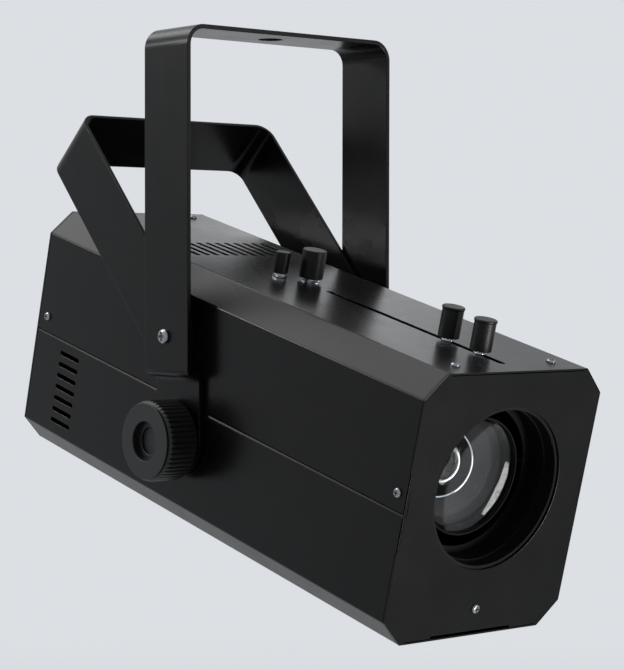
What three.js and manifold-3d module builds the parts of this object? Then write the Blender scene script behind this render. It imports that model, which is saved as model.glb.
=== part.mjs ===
// LED gobo projector with a hanging yoke, a second folding bracket and two sliding lens groups.
// Millimetres, +Z up, lens towards -Y. The origin is the middle of the clamp hole on top of the yoke.

import * as THREE from 'three';
import { mergeVertices } from 'three/addons/utils/BufferGeometryUtils.js';
import Module from 'manifold-3d';

const wasm = await Module();
wasm.setup();

// Clearances and overruns
const fit = 0.3;
const overrun = 5;

// Housing, a sheet metal box with chamfered long edges
const housingHeight = 170.6;
const noseLength = 218.1;
const tailLength = 188.3;
const middleRise = 25.1;
const longChamfer = 16;
const sheet = 1.2;
const seamDrop = 0.7;
const seamGap = 0.4;
const flangeRise = 16;
const flangeRoot = 4;
const panelSheet = 1.5;
const lipInset = 3;
const lipSlit = 0.5;
const lowerSlit = 1.8;
const lowerSlitLength = 68;

// Vents in the housing
const ventPitch = 8.25;
const topVentCount = 12;
const topVentLength = 36.4;
const topVentWidth = 4;
const topVentFromRear = 108.8;
const sideVentCount = 7;
const sideVentLength = 24;
const sideVentWidth = 3.3;
const sideVentFromRear = 46.1;
const sideVentTop = 10.4;
const rearVentCount = 9;
const rearVentLength = 44;
const rearVentRise = 34;

// Optical axis, front opening and hood
const axisRise = 10.1;
const hoodWall = 2;
const hoodLength = 26;
const hoodFlangeLip = 5;
const hoodFlangeSheet = 2;
const hoodLipDepth = 4;
const hoodLipLength = 2;
const hoodRidgeDepth = 0.8;
const hoodRidgePlace = 9;
const hoodRidgeLength = 4;
const socketLength = 10;
const stemNotchWidth = 12.5;

// Guide rods: the hood inside them and the housing outside them follow their reach
const rodRadius = 3;
const rodReach = 60;
const rodCollar = 3.2;
const rodMargin = 15;
const rodHoodGap = 5;

// Slot and the two knobs that slide in it
const slotWidth = 5;
const slotStart = 15.1;
const slotGateGap = 6.2;
const stemRadius = 2.2;
const stemCollarRadius = 4;
const stemCollarThickness = 0.8;
const stemSeatDepth = 4.5;
const bossRadius = 4.8;
const bossRise = 6;
const slideKnobRadius = 6.9;
const slideKnobCapRadius = 7.3;
const slideKnobCapHeight = 1.6;
const slideKnobHeight = 20;
const slideKnobLift = 2.3;
const knobBoreDepth = 12;
const smallBevel = 0.5;

// Focus group, nearest the front
const focusPlace = 36.7;
const focusLead = 13;
const focusBarrelLength = 27;
const focusBarrelGap = 7.7;
const focusBarrelWall = 2.1;
const focusSeatLedge = 2.7;
const focusSeatPlace = 11;
const focusDomeRadius = 92;
const focusLensEdge = 6;
const focusRingLedge = 1.6;
const focusRingLength = 3;
const carriageSheet = 3;
const carriageBossLength = 6;

// Zoom group behind it
const zoomGroupGap = 8.3;
const zoomLead = 6.9;
const zoomBarrelLength = 14;
const zoomBarrelStep = 4.3;
const zoomBarrelWall = 2.5;
const zoomSeatLedge = 2.5;
const zoomSeatPlace = 8;
const zoomDomeRadius = 60;
const zoomLensEdge = 4;
const zoomRingLedge = 1.5;
const zoomRingLength = 2;

// Gobo unit, ahead of the nut plates
const gateNutGap = 5.6;
const gateSheet = 2;
const gateMargin = 1.3;
const holderWall = 4;
const holderLength = 8.2;
const holderLip = 2;
const goboRingWall = 7.3;
const goboRingLength = 7.6;
const goboLedge = 2.2;
const goboRecess = 3.7;
const goboRadius = 26.7;
const goboThickness = 1.1;
const goboClipLedge = 2.1;
const goboClipThickness = 1.6;
const rollerRadius = 6.3;
const rollerThickness = 5;
const trackInset = 3;

// Index knob on top, over the gobo ring
const indexOffset = 4.8;
const indexKnobRadius = 8.2;
const indexKnobHeight = 19.3;
const indexKnobLift = 2.7;
const indexShaftRadius = 2.5;
const indexBushRadius = 4;
const indexFlangeRadius = 9;
const indexFlangeThickness = 2;
const indexNeckRise = 1.2;

// Dimmer knob on its potentiometer
const dimmerOffset = -12;
const dimmerBehindIndex = 12.2;
const dimmerKnobRadius = 5;
const dimmerKnobHeight = 14.5;
const dimmerKnobLift = 3;
const dimmerBodyRadius = 8;
const dimmerBodyHeight = 9;
const dimmerBushRadius = 3.4;
const dimmerBushRise = 2.6;
const dimmerShaftRadius = 2.2;
const dimmerNutRadius = 4.9;
const dimmerNutHeight = 2;

// Lamp: condenser, light source, cooler and fan
const condenserBehindGate = 29.5;
const condenserLength = 34;
const condenserRadius = 33;
const condenserFlangeLip = 5;
const condenserFlangeSheet = 2.5;
const condenserWall = 2.6;
const condenserLensEdge = 3;
const condenserDomeRadius = 40;
const condenserRearDomeRadius = 80;
const condenserLensGap = 10;
const condenserStep = 1.6;
const condenserFirstSeat = 11;
const lampPlateSheet = 2;
const lampBoardGap = 1;
const boardRadius = 18;
const boardThickness = 1.6;
const emitterRadius = 5.5;
const coolerWidth = 88;
const coolerBase = 6;
const coolerDepth = 38;
const coolerFinCount = 13;
const coolerFinThickness = 1.8;
const fanSize = 80;
const fanDepth = 25;
const fanRim = 1.5;
const fanHubRadius = 17;
const fanStrut = 5;
const fanStrutDepth = 4;
const fanBladeCount = 7;
const fanBladeThickness = 1.6;
const fanBladePitchDeg = 38;
const fanTipGap = 1.2;
const fanScrewRadius = 2.2;
const fanScrewInset = 4.25;

// Electronics and mains inlet
const driverWidth = 96;
const driverBoard = 1.6;
const driverLift = 8;
const driverPostRadius = 3.5;
const driverInset = 6;
const driverAfterFan = 6;
const driverBeforeInlet = 2.5;
const chokeSize = 24;
const chokeHeight = 20;
const chokeOffset = -24;
const canRadius = 8;
const canHeight = 26;
const canPitch = 24;
const inletWidth = 27;
const inletHeight = 20;
const inletDepth = 20;
const inletFlange = 2.5;
const inletFlangeSheet = 2;
const inletWall = 2;
const inletPinWidth = 2;
const inletPinHeight = 4;
const inletPinPitch = 7;
const inletPinLength = 14;
const inletOffset = 30;
const inletDrop = 34;
const fuseRadius = 7.5;
const fuseHeight = 5;
const fuseBodyRadius = 6;
const fuseBodyLength = 18;
const fuseOffset = -34;

// Tilt joint between housing and yoke
const frictionSheet = 0.6;
const frictionRadius = 20;
const studRadius = 4;
const studBore = 4.4;
const studGrip = 15;
const nutPlateThickness = 4;
const nutPlateSize = 40;
const nutRadius = 8;
const nutHeight = 7;
const spacerRadius = 12;
const spacerThickness = 1.2;

// Tilt knob, ribbed
const tiltKnobRadius = 26.8;
const tiltKnobLength = 25.2;
const tiltKnobRibs = 48;
const tiltKnobRibDepth = 1.1;
const tiltKnobFaceStep = 1.7;
const tiltKnobFaceSheet = 1.2;
const tiltKnobRibSlope = 3.3;
const tiltKnobRearStep = 2.2;
const tiltKnobRecess = 13;
const tiltKnobRecessDepth = 4.2;
const tiltKnobWellRadius = 9.1;
const tiltKnobWellDepth = 1.6;
const tiltKnobBoreDepth = 16;
const tiltKnobRearHollow = 3;
const tiltKnobWall = 3.5;

// Yoke, a flat strap bent to a U
const yokeThickness = 3;
const strapWidth = 47.3;
const yokeRise = 272.4;
const yokeBend = 13.8;
const jogShift = 9.4;
const jogKnobGap = 14.3;
const jogDrop = 1.5;
const clampHoleRadius = 8.3;

// Folding bracket and its pivot screws
const bracketThickness = 2.5;
const bracketLength = 183.8;
const bracketBend = 12;
const bracketPlace = 1.1;
const bracketJogGap = 0.5;
const bracketEndTrim = 1;
const swivelSheet = 0.5;
const swivelRadius = 9;
const screwRadius = 2.5;
const screwBore = 2.8;
const screwHeadRadius = 5;
const screwHeadHeight = 2.8;
const screwHeadEdge = 1;
const screwHeadCrown = 1.5;
const screwSocketRadius = 1.6;
const screwSocketDepth = 1.4;
const screwNutRadius = 4.6;
const screwNutHeight = 4;

// Rest pose, as photographed
const housingTiltDeg = 14.7;
const bracketLeanDeg = 42.1;

// Worked out from the sizes above, in the housing's frame with the tilt axis as its origin
const halfWidth = rodReach + rodMargin;
const top = middleRise + housingHeight / 2;
const bottom = middleRise - housingHeight / 2;
const front = -noseLength;
const rear = tailLength;
const seam = middleRise - seamDrop;
const axis = middleRise + axisRise;
const innerHalf = halfWidth - sheet;
const shellFront = front + panelSheet + fit;
const shellRear = rear - panelSheet - fit;
const lipHalf = halfWidth - longChamfer - lipInset;
const hoodOuter = rodReach - rodRadius - rodHoodGap;
const hoodBore = hoodOuter - hoodWall;
const knobFoot = top + slideKnobLift;
const gateStart = -(nutPlateSize / 2 + gateNutGap + gateSheet);
const holderStart = gateStart + gateSheet + fit;
const goboRingStart = holderStart + holderLip + fit;
const goboRingRadius = goboRadius + goboRingWall;
const trackRadius = goboRingRadius - trackInset;
const indexY = goboRingStart + goboRingLength + fit + rollerRadius;
const dimmerY = indexY + dimmerBehindIndex;
const inletZ = middleRise - inletDrop;
const legInner = halfWidth + fit + frictionSheet + fit;
const legOuter = legInner + yokeThickness;
const yokeInner = legInner + jogShift;
const yokeOuter = yokeInner + yokeThickness;
const bracketOuter = yokeInner - fit - swivelSheet - fit;
const bracketInner = bracketOuter - bracketThickness;
const strapHalf = strapWidth / 2;
const jogPlace = tiltKnobRadius + jogKnobGap + jogDrop;
const jogKink = yokeThickness * Math.tan(Math.atan2(jogShift, jogDrop) / 2);
const bracketEnd = strapHalf - bracketEndTrim;
const bracketHeight = jogPlace + jogKink + bracketEnd + bracketJogGap;

// Finishes
const finish = (color, roughness, metalness) => new THREE.MeshStandardMaterial({
  color, roughness, metalness,
});
const blackPaint = finish(0x1d1d1e, 0.45, 0.1);
const blackPlastic = finish(0x141415, 0.55, 0);
const blackInside = finish(0x0c0c0d, 0.7, 0);
const brightSteel = finish(0xb9bcc0, 0.25, 1);
const aluminium = finish(0x9da0a4, 0.4, 1);
const darkAluminium = finish(0x35373a, 0.45, 0.8);
const clearGlass = finish(0xd9e6ea, 0.05, 0);
const goboGlass = finish(0x6f7f8f, 0.15, 0.4);
const nylon = finish(0x2b2b2d, 0.6, 0);
const greenBoard = finish(0x1f4a33, 0.6, 0);
const whiteBoard = finish(0xdfe0dc, 0.5, 0);
const yellowPhosphor = finish(0xd8c452, 0.4, 0);

// Solids: every geometry becomes a closed solid, which can then be joined and cut
function signedVolume(position, index) {
  const a = new THREE.Vector3();
  const b = new THREE.Vector3();
  const c = new THREE.Vector3();
  let sum = 0;
  for (let i = 0; i < index.length; i += 3) {
    a.fromBufferAttribute(position, index[i]);
    b.fromBufferAttribute(position, index[i + 1]);
    c.fromBufferAttribute(position, index[i + 2]);
    sum += a.dot(b.cross(c));
  }
  return sum;
}

function solidOf(geometry) {
  const bare = geometry.clone();
  bare.deleteAttribute('normal');
  bare.deleteAttribute('uv');
  const merged = mergeVertices(bare);
  const faces = [];
  const source = merged.index.array;
  for (let i = 0; i < source.length; i += 3) {
    const [a, b, c] = [source[i], source[i + 1], source[i + 2]];
    if (a !== b && b !== c && c !== a) faces.push([a, b, c]);
  }
  const position = merged.attributes.position;
  if (signedVolume(position, faces.flat()) < 0) faces.forEach((face) => face.reverse());
  return new wasm.Manifold(new wasm.Mesh({
    numProp: 3,
    vertProperties: new Float32Array(position.array),
    triVerts: new Uint32Array(faces.flat()),
  }));
}

const join = (first, ...others) => others.reduce((sum, next) => sum.add(next), first);
const cut = (first, ...tools) => tools.reduce((rest, tool) => rest.subtract(tool), first);

function piece(name, solid, material) {
  const data = solid.getMesh();
  const geometry = new THREE.BufferGeometry();
  geometry.setAttribute('position', new THREE.BufferAttribute(data.vertProperties, 3));
  geometry.setIndex(new THREE.BufferAttribute(data.triVerts, 1));
  geometry.computeVertexNormals();
  const mesh = new THREE.Mesh(geometry, material);
  mesh.name = name;
  return mesh;
}

// Outlines are drawn in two axes and pushed along the third
function polygon(points) {
  return new THREE.Shape(points.map(([u, v]) => new THREE.Vector2(u, v)));
}

function disc(radius, u = 0, v = 0) {
  return new THREE.Shape().absarc(u, v, radius, 0, Math.PI * 2);
}

function pill(length, width, u = 0, v = 0, upright = false) {
  const reach = (length - width) / 2;
  const radius = width / 2;
  const shape = new THREE.Shape();
  if (upright) {
    shape.absarc(u, v + reach, radius, 0, Math.PI);
    shape.absarc(u, v - reach, radius, Math.PI, Math.PI * 2);
  } else {
    shape.absarc(u + reach, v, radius, -Math.PI / 2, Math.PI / 2);
    shape.absarc(u - reach, v, radius, Math.PI / 2, Math.PI * 3 / 2);
  }
  return shape.closePath();
}

function chamferedBox(halfU, lowV, highV, chamfer) {
  return polygon([
    [-halfU, lowV + chamfer], [-halfU + chamfer, lowV], [halfU - chamfer, lowV], [halfU, lowV + chamfer],
    [halfU, highV - chamfer], [halfU - chamfer, highV], [-halfU + chamfer, highV], [-halfU, highV - chamfer],
  ]);
}

function box(halfU, lowV, highV, centreU = 0) {
  return polygon([
    [centreU - halfU, lowV], [centreU + halfU, lowV], [centreU + halfU, highV], [centreU - halfU, highV],
  ]);
}

function pushed(shape, from, to, segments) {
  const geometry = new THREE.ExtrudeGeometry(shape, {
    depth: to - from, bevelEnabled: false, curveSegments: segments / 2,
  });
  return geometry.translate(0, 0, from);
}

const alongZ = (shape, from, to, segments = 12) => solidOf(pushed(shape, from, to, segments));

// An outline in X and Z, pushed along Y
const alongY = (shape, from, to, segments = 12) => solidOf(
  pushed(shape, -to, -from, segments).rotateX(Math.PI / 2));

// An outline in Y and Z, pushed along X
const yzToWorld = new THREE.Matrix4().set(0, 0, 1, 0, 1, 0, 0, 0, 0, 1, 0, 0, 0, 0, 0, 1);
const alongX = (shape, from, to, segments = 12) => solidOf(
  pushed(shape, from, to, segments).applyMatrix4(yzToWorld));

// Turned pieces: points hold a radius and a place along the turning axis
function turned(points, segments) {
  return new THREE.LatheGeometry(points.map(([radius, place]) => new THREE.Vector2(radius, place)), segments);
}

const turnedY = (points, segments, x = 0, z = 0) => solidOf(turned(points, segments).translate(x, 0, z));
const turnedZ = (points, segments, x = 0, y = 0) => solidOf(
  turned(points, segments).rotateX(Math.PI / 2).translate(x, y, 0));
const turnedX = (points, segments, y = 0, z = 0) => solidOf(
  turned(points, segments).rotateZ(-Math.PI / 2).translate(0, y, z));

const rod = (radius, from, to) => [[0, from], [radius, from], [radius, to], [0, to]];
const tube = (bore, radius, from, to) => [
  [bore, from], [radius, from], [radius, to], [bore, to], [bore, from],
];

// Number of flats on round pieces
const wideRound = 48;
const hoodRound = 36;
const lensRound = 24;
const innerRound = 20;
const midRound = 16;
const smallRound = 10;
const tinyRound = 5;
const ventRound = 4;
const hexFlats = 6;
const domeSteps = 4;
const emitterSteps = 3;
const bendSteps = 4;

// A bore's radius at its corners, where its flats have to clear what turns in it
const overFlats = (radius, segments) => radius / Math.cos(Math.PI / segments);

const placeFromFront = (distance) => front + distance;

// Housing shells
function shellVents() {
  const tools = [];
  const y = rear - topVentFromRear;
  for (let i = 0; i < topVentCount; i += 1) {
    const x = (i - (topVentCount - 1) / 2) * ventPitch;
    const vent = pill(topVentLength, topVentWidth, x, y, true);
    tools.push(alongZ(vent, top - overrun, top + overrun, ventRound));
  }
  return tools;
}

function upperShell() {
  const innerTop = top - sheet;
  const innerChamfer = longChamfer - sheet * Math.tan(Math.PI / 8);
  const wall = polygon([
    [-halfWidth, seam], [-halfWidth, top - longChamfer], [-halfWidth + longChamfer, top],
    [halfWidth - longChamfer, top], [halfWidth, top - longChamfer], [halfWidth, seam],
    [innerHalf, seam], [innerHalf, innerTop - innerChamfer], [innerHalf - innerChamfer, innerTop],
    [-innerHalf + innerChamfer, innerTop], [-innerHalf, innerTop - innerChamfer], [-innerHalf, seam],
  ]);
  const slotFront = placeFromFront(slotStart);
  const slotRear = gateStart - slotGateGap;
  const slot = pill(slotRear - slotFront, slotWidth, 0, (slotFront + slotRear) / 2, true);
  const lip = alongY(box(lipHalf, innerTop, top), front, shellFront + panelSheet);
  const indexHole = disc(indexBushRadius + fit, indexOffset, indexY);
  const dimmerHole = disc(dimmerBushRadius + fit, dimmerOffset, dimmerY);
  return cut(
    join(alongY(wall, shellFront, shellRear), lip),
    alongZ(slot, innerTop - overrun, top + overrun),
    alongZ(indexHole, innerTop - overrun, top + overrun, smallRound),
    alongZ(dimmerHole, innerTop - overrun, top + overrun, smallRound),
    ...shellVents(),
  );
}

function lowerShell() {
  const innerBottom = bottom + sheet;
  const innerChamfer = longChamfer - sheet * Math.tan(Math.PI / 8);
  const edge = seam - seamGap;
  const flangeOuter = innerHalf - fit;
  const flangeInner = flangeOuter - sheet;
  const side = (sign) => [
    [sign * halfWidth, bottom + longChamfer], [sign * halfWidth, edge], [sign * flangeOuter, edge],
    [sign * flangeOuter, edge + flangeRise], [sign * flangeInner, edge + flangeRise],
    [sign * flangeInner, edge - flangeRoot], [sign * innerHalf, edge - flangeRoot - sheet],
    [sign * innerHalf, innerBottom + innerChamfer],
  ];
  const wall = polygon([
    [halfWidth - longChamfer, bottom], ...side(1),
    [innerHalf - innerChamfer, innerBottom], [-innerHalf + innerChamfer, innerBottom],
    ...side(-1).reverse(), [-halfWidth + longChamfer, bottom],
  ]);
  const lip = alongY(box(lipHalf, bottom, innerBottom), front, shellFront + panelSheet);
  const vents = [];
  for (let i = 0; i < sideVentCount; i += 1) {
    const z = middleRise - sideVentTop - i * ventPitch;
    const slot = pill(sideVentLength, sideVentWidth, rear - sideVentFromRear, z);
    vents.push(alongX(slot, -halfWidth - overrun, halfWidth + overrun, ventRound));
  }
  const studHole = alongX(disc(studBore), -halfWidth - overrun, halfWidth + overrun, smallRound);
  return cut(join(alongY(wall, shellFront, shellRear), lip), studHole, ...vents);
}

function frontPlate() {
  const blank = alongY(chamferedBox(halfWidth, bottom, top, longChamfer), front, front + panelSheet);
  const upperNotch = box(lipHalf + fit, top - sheet - lipSlit, top + overrun);
  const lowerNotch = box(lipHalf + fit, bottom - overrun, bottom + sheet + lipSlit);
  const deepNotch = box(lowerSlitLength / 2, bottom - overrun, bottom + sheet + lowerSlit);
  const through = (shape, segments) => alongY(shape, front - overrun, front + panelSheet + overrun, segments);
  return cut(
    blank, through(upperNotch), through(lowerNotch), through(deepNotch),
    through(disc(hoodOuter, 0, axis), wideRound),
  );
}

function rearPanel() {
  const blank = alongY(chamferedBox(halfWidth, bottom, top, longChamfer), rear - panelSheet, rear);
  const through = (shape, segments) => alongY(shape, rear - panelSheet - overrun, rear + overrun, segments);
  const tools = [];
  for (let i = 0; i < rearVentCount; i += 1) {
    const x = (i - (rearVentCount - 1) / 2) * ventPitch;
    tools.push(through(pill(rearVentLength, topVentWidth, x, middleRise + rearVentRise, true), ventRound));
  }
  const inletHalf = inletHeight / 2 + fit;
  tools.push(through(box(inletWidth / 2 + fit, inletZ - inletHalf, inletZ + inletHalf, inletOffset)));
  tools.push(through(disc(fuseBodyRadius + fit, fuseOffset, inletZ), smallRound));
  return cut(blank, ...tools);
}

// Outline that carries both guide rods
const rodEars = () => pill(2 * (rodReach + rodRadius + rodCollar), 2 * (rodRadius + rodCollar), 0, axis);

// Hood behind the front plate, with sockets for the guide rods
function lensHood() {
  const start = front + panelSheet + fit;
  const end = start + hoodLength;
  const lipBore = hoodBore - hoodLipDepth;
  const ridge = start + hoodRidgePlace;
  const ridgeEnd = ridge + hoodRidgeLength;
  const ridgeBore = hoodBore - hoodRidgeDepth;
  const body = turnedY([
    [hoodBore, start], [hoodOuter, start], [hoodOuter, end], [lipBore, end], [lipBore, end - hoodLipLength],
    [hoodBore, end - hoodLipLength], [hoodBore, ridgeEnd], [ridgeBore, ridgeEnd], [ridgeBore, ridge],
    [hoodBore, ridge], [hoodBore, start],
  ], hoodRound, 0, axis);
  const flange = alongY(disc(hoodOuter + hoodFlangeLip, 0, axis), start, start + hoodFlangeSheet, hoodRound);
  const ears = alongY(rodEars(), start, start + hoodFlangeSheet, smallRound);
  const sockets = [-rodReach, rodReach].map((x) => turnedY(
    rod(rodRadius + rodCollar, start, start + socketLength), smallRound, x, axis));
  const bores = [-rodReach, rodReach].map((x) => turnedY(
    rod(rodRadius + fit, start + hoodFlangeSheet, start + socketLength + overrun), smallRound, x, axis));
  const clear = turnedY(rod(hoodBore, start - overrun, start + hoodFlangeSheet + fit), hoodRound, 0, axis);
  const notchStart = placeFromFront(slotStart - stemCollarRadius);
  const notch = alongY(box(stemNotchWidth / 2, axis, axis + hoodOuter + overrun), notchStart, end + overrun);
  return cut(join(body, cut(join(flange, ears), clear), ...sockets), ...bores, notch);
}

function guideRod(x) {
  const start = front + panelSheet + fit + hoodFlangeSheet + fit;
  const end = gateStart + gateSheet + rodCollar;
  return turnedY(rod(rodRadius, start, end), smallRound, x, axis);
}

// A lens group: barrel on two ears that run on the guide rods, with a boss for its stem
function barrel(group) {
  const start = placeFromFront(group.place - group.lead);
  const end = start + group.length;
  const seat = start + group.seatPlace;
  const body = turnedY([
    [group.lensRadius + fit, start], [group.radius, start], [group.radius, end], [group.seatRadius, end],
    [group.seatRadius, seat], [group.lensRadius + fit, seat], [group.lensRadius + fit, start],
  ], lensRound, 0, axis);
  const earFrom = end - carriageSheet;
  const ears = alongY(rodEars(), earFrom, end, smallRound);
  const midWall = (group.radius + group.seatRadius) / 2;
  const clear = turnedY(rod(midWall, earFrom - overrun, end + overrun), lensRound, 0, axis);
  const guides = [-rodReach, rodReach].map((x) => turnedY(
    rod(rodRadius + rodCollar, group.guideFrom(start, end), group.guideTo(start, end)), smallRound, x, axis));
  const bores = [-rodReach, rodReach].map((x) => turnedY(
    rod(rodRadius + fit, start - overrun, end + carriageBossLength + overrun), smallRound, x, axis));
  const bossZ = axis + group.radius + bossRise;
  const stemY = placeFromFront(group.place);
  const bossFoot = axis + (group.radius + group.lensRadius) / 2;
  const boss = turnedZ(rod(bossRadius, bossFoot, bossZ), smallRound, 0, stemY);
  const seatFloor = bossZ - stemSeatDepth;
  const seatHole = turnedZ(rod(stemRadius + fit, seatFloor, bossZ + overrun), smallRound, 0, stemY);
  return cut(join(body, cut(ears, clear), ...guides, cut(boss, clear)), ...bores, seatHole);
}

// A lens with a domed front face, a flat back and a plain edge
function lens(radius, edge, domeRadius, edgeFront, segments = lensRound) {
  const points = [[0, edgeFront + edge], [radius, edgeFront + edge], [radius, edgeFront]];
  const spread = Math.asin(radius / domeRadius);
  const centre = edgeFront + domeRadius * Math.cos(spread);
  for (let i = 1; i <= domeSteps; i += 1) {
    const angle = spread * (1 - i / domeSteps);
    points.push([domeRadius * Math.sin(angle), centre - domeRadius * Math.cos(angle)]);
  }
  points[points.length - 1][0] = 0;
  return turnedY(points.reverse(), segments, 0, axis);
}

function stem(group) {
  const stemY = placeFromFront(group.place);
  const foot = axis + group.radius + bossRise - stemSeatDepth + fit;
  const head = knobFoot + knobBoreDepth - fit;
  const collar = top + fit;
  return turnedZ([
    [0, foot], [stemRadius, foot], [stemRadius, collar], [stemCollarRadius, collar],
    [stemCollarRadius, collar + stemCollarThickness], [stemRadius, collar + stemCollarThickness],
    [stemRadius, head], [0, head],
  ], smallRound, 0, stemY);
}

function slideKnob(group) {
  const head = knobFoot + slideKnobHeight;
  const cap = head - slideKnobCapHeight;
  return turnedZ([
    [stemRadius + fit, knobFoot], [slideKnobRadius - smallBevel, knobFoot],
    [slideKnobRadius, knobFoot + smallBevel], [slideKnobRadius, cap],
    [slideKnobCapRadius, cap + smallBevel], [slideKnobCapRadius, head - smallBevel],
    [slideKnobCapRadius - smallBevel, head], [0, head], [0, knobFoot + knobBoreDepth],
    [stemRadius + fit, knobFoot + knobBoreDepth], [stemRadius + fit, knobFoot],
  ], midRound, 0, placeFromFront(group.place));
}

const focusBarrelRadius = hoodBore - hoodLipDepth - focusBarrelGap;
const focusLensRadius = focusBarrelRadius - focusBarrelWall;
const focusGroup = {
  place: focusPlace, lead: focusLead, length: focusBarrelLength, radius: focusBarrelRadius,
  lensRadius: focusLensRadius, seatRadius: focusLensRadius - focusSeatLedge, seatPlace: focusSeatPlace,
  edge: focusLensEdge, domeRadius: focusDomeRadius,
  ringBore: focusLensRadius - focusRingLedge, ringLength: focusRingLength,
  guideFrom: (start, end) => end - carriageSheet, guideTo: (start, end) => end + carriageBossLength / 2,
};

const zoomBarrelRadius = focusBarrelRadius - zoomBarrelStep;
const zoomLensRadius = zoomBarrelRadius - zoomBarrelWall;
const zoomGroup = {
  place: focusPlace - focusLead + focusBarrelLength + zoomGroupGap + zoomLead, lead: zoomLead,
  length: zoomBarrelLength, radius: zoomBarrelRadius,
  lensRadius: zoomLensRadius, seatRadius: zoomLensRadius - zoomSeatLedge, seatPlace: zoomSeatPlace,
  edge: zoomLensEdge, domeRadius: zoomDomeRadius,
  ringBore: zoomLensRadius - zoomRingLedge, ringLength: zoomRingLength,
  guideFrom: (start, end) => end - carriageSheet - carriageBossLength, guideTo: (start, end) => end,
};

const seatOf = (group) => placeFromFront(group.place - group.lead) + group.seatPlace;
const lensEdgeFront = (group) => seatOf(group) - fit - group.edge;
const lensOf = (group) => lens(group.lensRadius, group.edge, group.domeRadius, lensEdgeFront(group));

function retainingRing(group) {
  const { domeRadius, ringBore, lensRadius } = group;
  const domeRise = Math.sqrt(domeRadius ** 2 - ringBore ** 2) - Math.sqrt(domeRadius ** 2 - lensRadius ** 2);
  const end = lensEdgeFront(group) - domeRise - fit;
  return turnedY(tube(ringBore, lensRadius, end - group.ringLength, end), lensRound, 0, axis);
}

// Gobo unit behind the gate plate
function bulkhead(from, thickness, bore) {
  const halfInside = innerHalf - fit - sheet - fit;
  const blank = alongY(
    chamferedBox(halfInside, bottom + sheet + fit, top - sheet - fit, longChamfer), from, from + thickness);
  return cut(blank, alongY(disc(bore, 0, axis), from - overrun, from + thickness + overrun, lensRound));
}

const gateBore = goboRadius + gateMargin;

function gatePlate() {
  const holes = [-rodReach, rodReach].map((x) => turnedY(
    rod(rodRadius + fit, gateStart - overrun, gateStart + gateSheet + overrun), smallRound, x, axis));
  return cut(bulkhead(gateStart, gateSheet, gateBore), ...holes);
}

// The ring turns in the holder, so the holder's flats stand clear of the ring's corners
function goboHolder() {
  const radius = goboRingRadius + holderWall;
  const bore = overFlats(goboRingRadius + fit, innerRound);
  return turnedY([
    [gateBore, holderStart], [radius, holderStart], [radius, holderStart + holderLength],
    [bore, holderStart + holderLength], [bore, holderStart + holderLip],
    [gateBore, holderStart + holderLip], [gateBore, holderStart],
  ], innerRound, 0, axis);
}

function goboRing() {
  const end = goboRingStart + goboRingLength;
  const recess = end - goboRecess;
  const goboRingBore = goboRadius - goboLedge;
  return turnedY([
    [goboRingBore, goboRingStart], [goboRingRadius, goboRingStart], [goboRingRadius, end],
    [goboRadius + fit, end], [goboRadius + fit, recess], [goboRingBore, recess],
    [goboRingBore, goboRingStart],
  ], innerRound, 0, axis);
}

const goboStart = goboRingStart + goboRingLength - goboRecess + fit;
const goboDisc = () => turnedY(rod(goboRadius, goboStart, goboStart + goboThickness), innerRound, 0, axis);

function goboClip() {
  const start = goboStart + goboThickness + fit;
  return turnedY(
    tube(goboRadius - goboClipLedge, goboRadius, start, start + goboClipThickness), innerRound, 0, axis);
}

// Index knob, shaft and friction roller that turns the gobo ring
const rollerMiddle = axis + trackRadius;

function indexBush() {
  const under = top - sheet - fit;
  return turnedZ([
    [indexShaftRadius + fit, under - indexFlangeThickness], [indexFlangeRadius, under - indexFlangeThickness],
    [indexFlangeRadius, under], [indexBushRadius, under], [indexBushRadius, top + indexNeckRise],
    [indexShaftRadius + fit, top + indexNeckRise], [indexShaftRadius + fit, under - indexFlangeThickness],
  ], midRound, indexOffset, indexY);
}

function indexShaft() {
  const foot = rollerMiddle - rollerThickness / 2 - fit - indexFlangeThickness;
  const head = top + indexKnobLift + knobBoreDepth - fit;
  return turnedZ(rod(indexShaftRadius, foot, head), smallRound, indexOffset, indexY);
}

function goboRoller() {
  const half = rollerThickness / 2;
  return turnedZ(
    tube(indexShaftRadius + fit, rollerRadius, rollerMiddle - half, rollerMiddle + half),
    midRound, indexOffset, indexY);
}

function plainKnob(radius, foot, height, bore, x, y) {
  const head = foot + height;
  const boreEnd = foot + knobBoreDepth;
  return turnedZ([
    [bore + fit, foot], [radius - smallBevel, foot], [radius, foot + smallBevel], [radius, head - smallBevel],
    [radius - smallBevel, head], [0, head], [0, boreEnd], [bore + fit, boreEnd], [bore + fit, foot],
  ], midRound, x, y);
}

const indexKnob = () => plainKnob(
  indexKnobRadius, top + indexKnobLift, indexKnobHeight, indexShaftRadius, indexOffset, indexY);

// Dimmer potentiometer, nut, shaft and knob
function dimmerPotentiometer() {
  const under = top - sheet - fit;
  return turnedZ([
    [0, under - dimmerBodyHeight], [dimmerBodyRadius, under - dimmerBodyHeight], [dimmerBodyRadius, under],
    [dimmerBushRadius, under], [dimmerBushRadius, top + dimmerBushRise],
    [dimmerShaftRadius + fit, top + dimmerBushRise], [dimmerShaftRadius + fit, under - dimmerBodyHeight / 2],
    [0, under - dimmerBodyHeight / 2],
  ], midRound, dimmerOffset, dimmerY);
}

const dimmerNut = () => cut(
  turnedZ(rod(dimmerNutRadius, top + fit, top + fit + dimmerNutHeight), hexFlats, dimmerOffset, dimmerY),
  turnedZ(rod(dimmerBushRadius + fit, top - overrun, top + overrun), smallRound, dimmerOffset, dimmerY));

function dimmerShaft() {
  const foot = top - sheet - fit - dimmerBodyHeight / 2 + fit;
  const head = top + dimmerKnobLift + knobBoreDepth - fit;
  return turnedZ(rod(dimmerShaftRadius, foot, head), smallRound, dimmerOffset, dimmerY);
}

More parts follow.
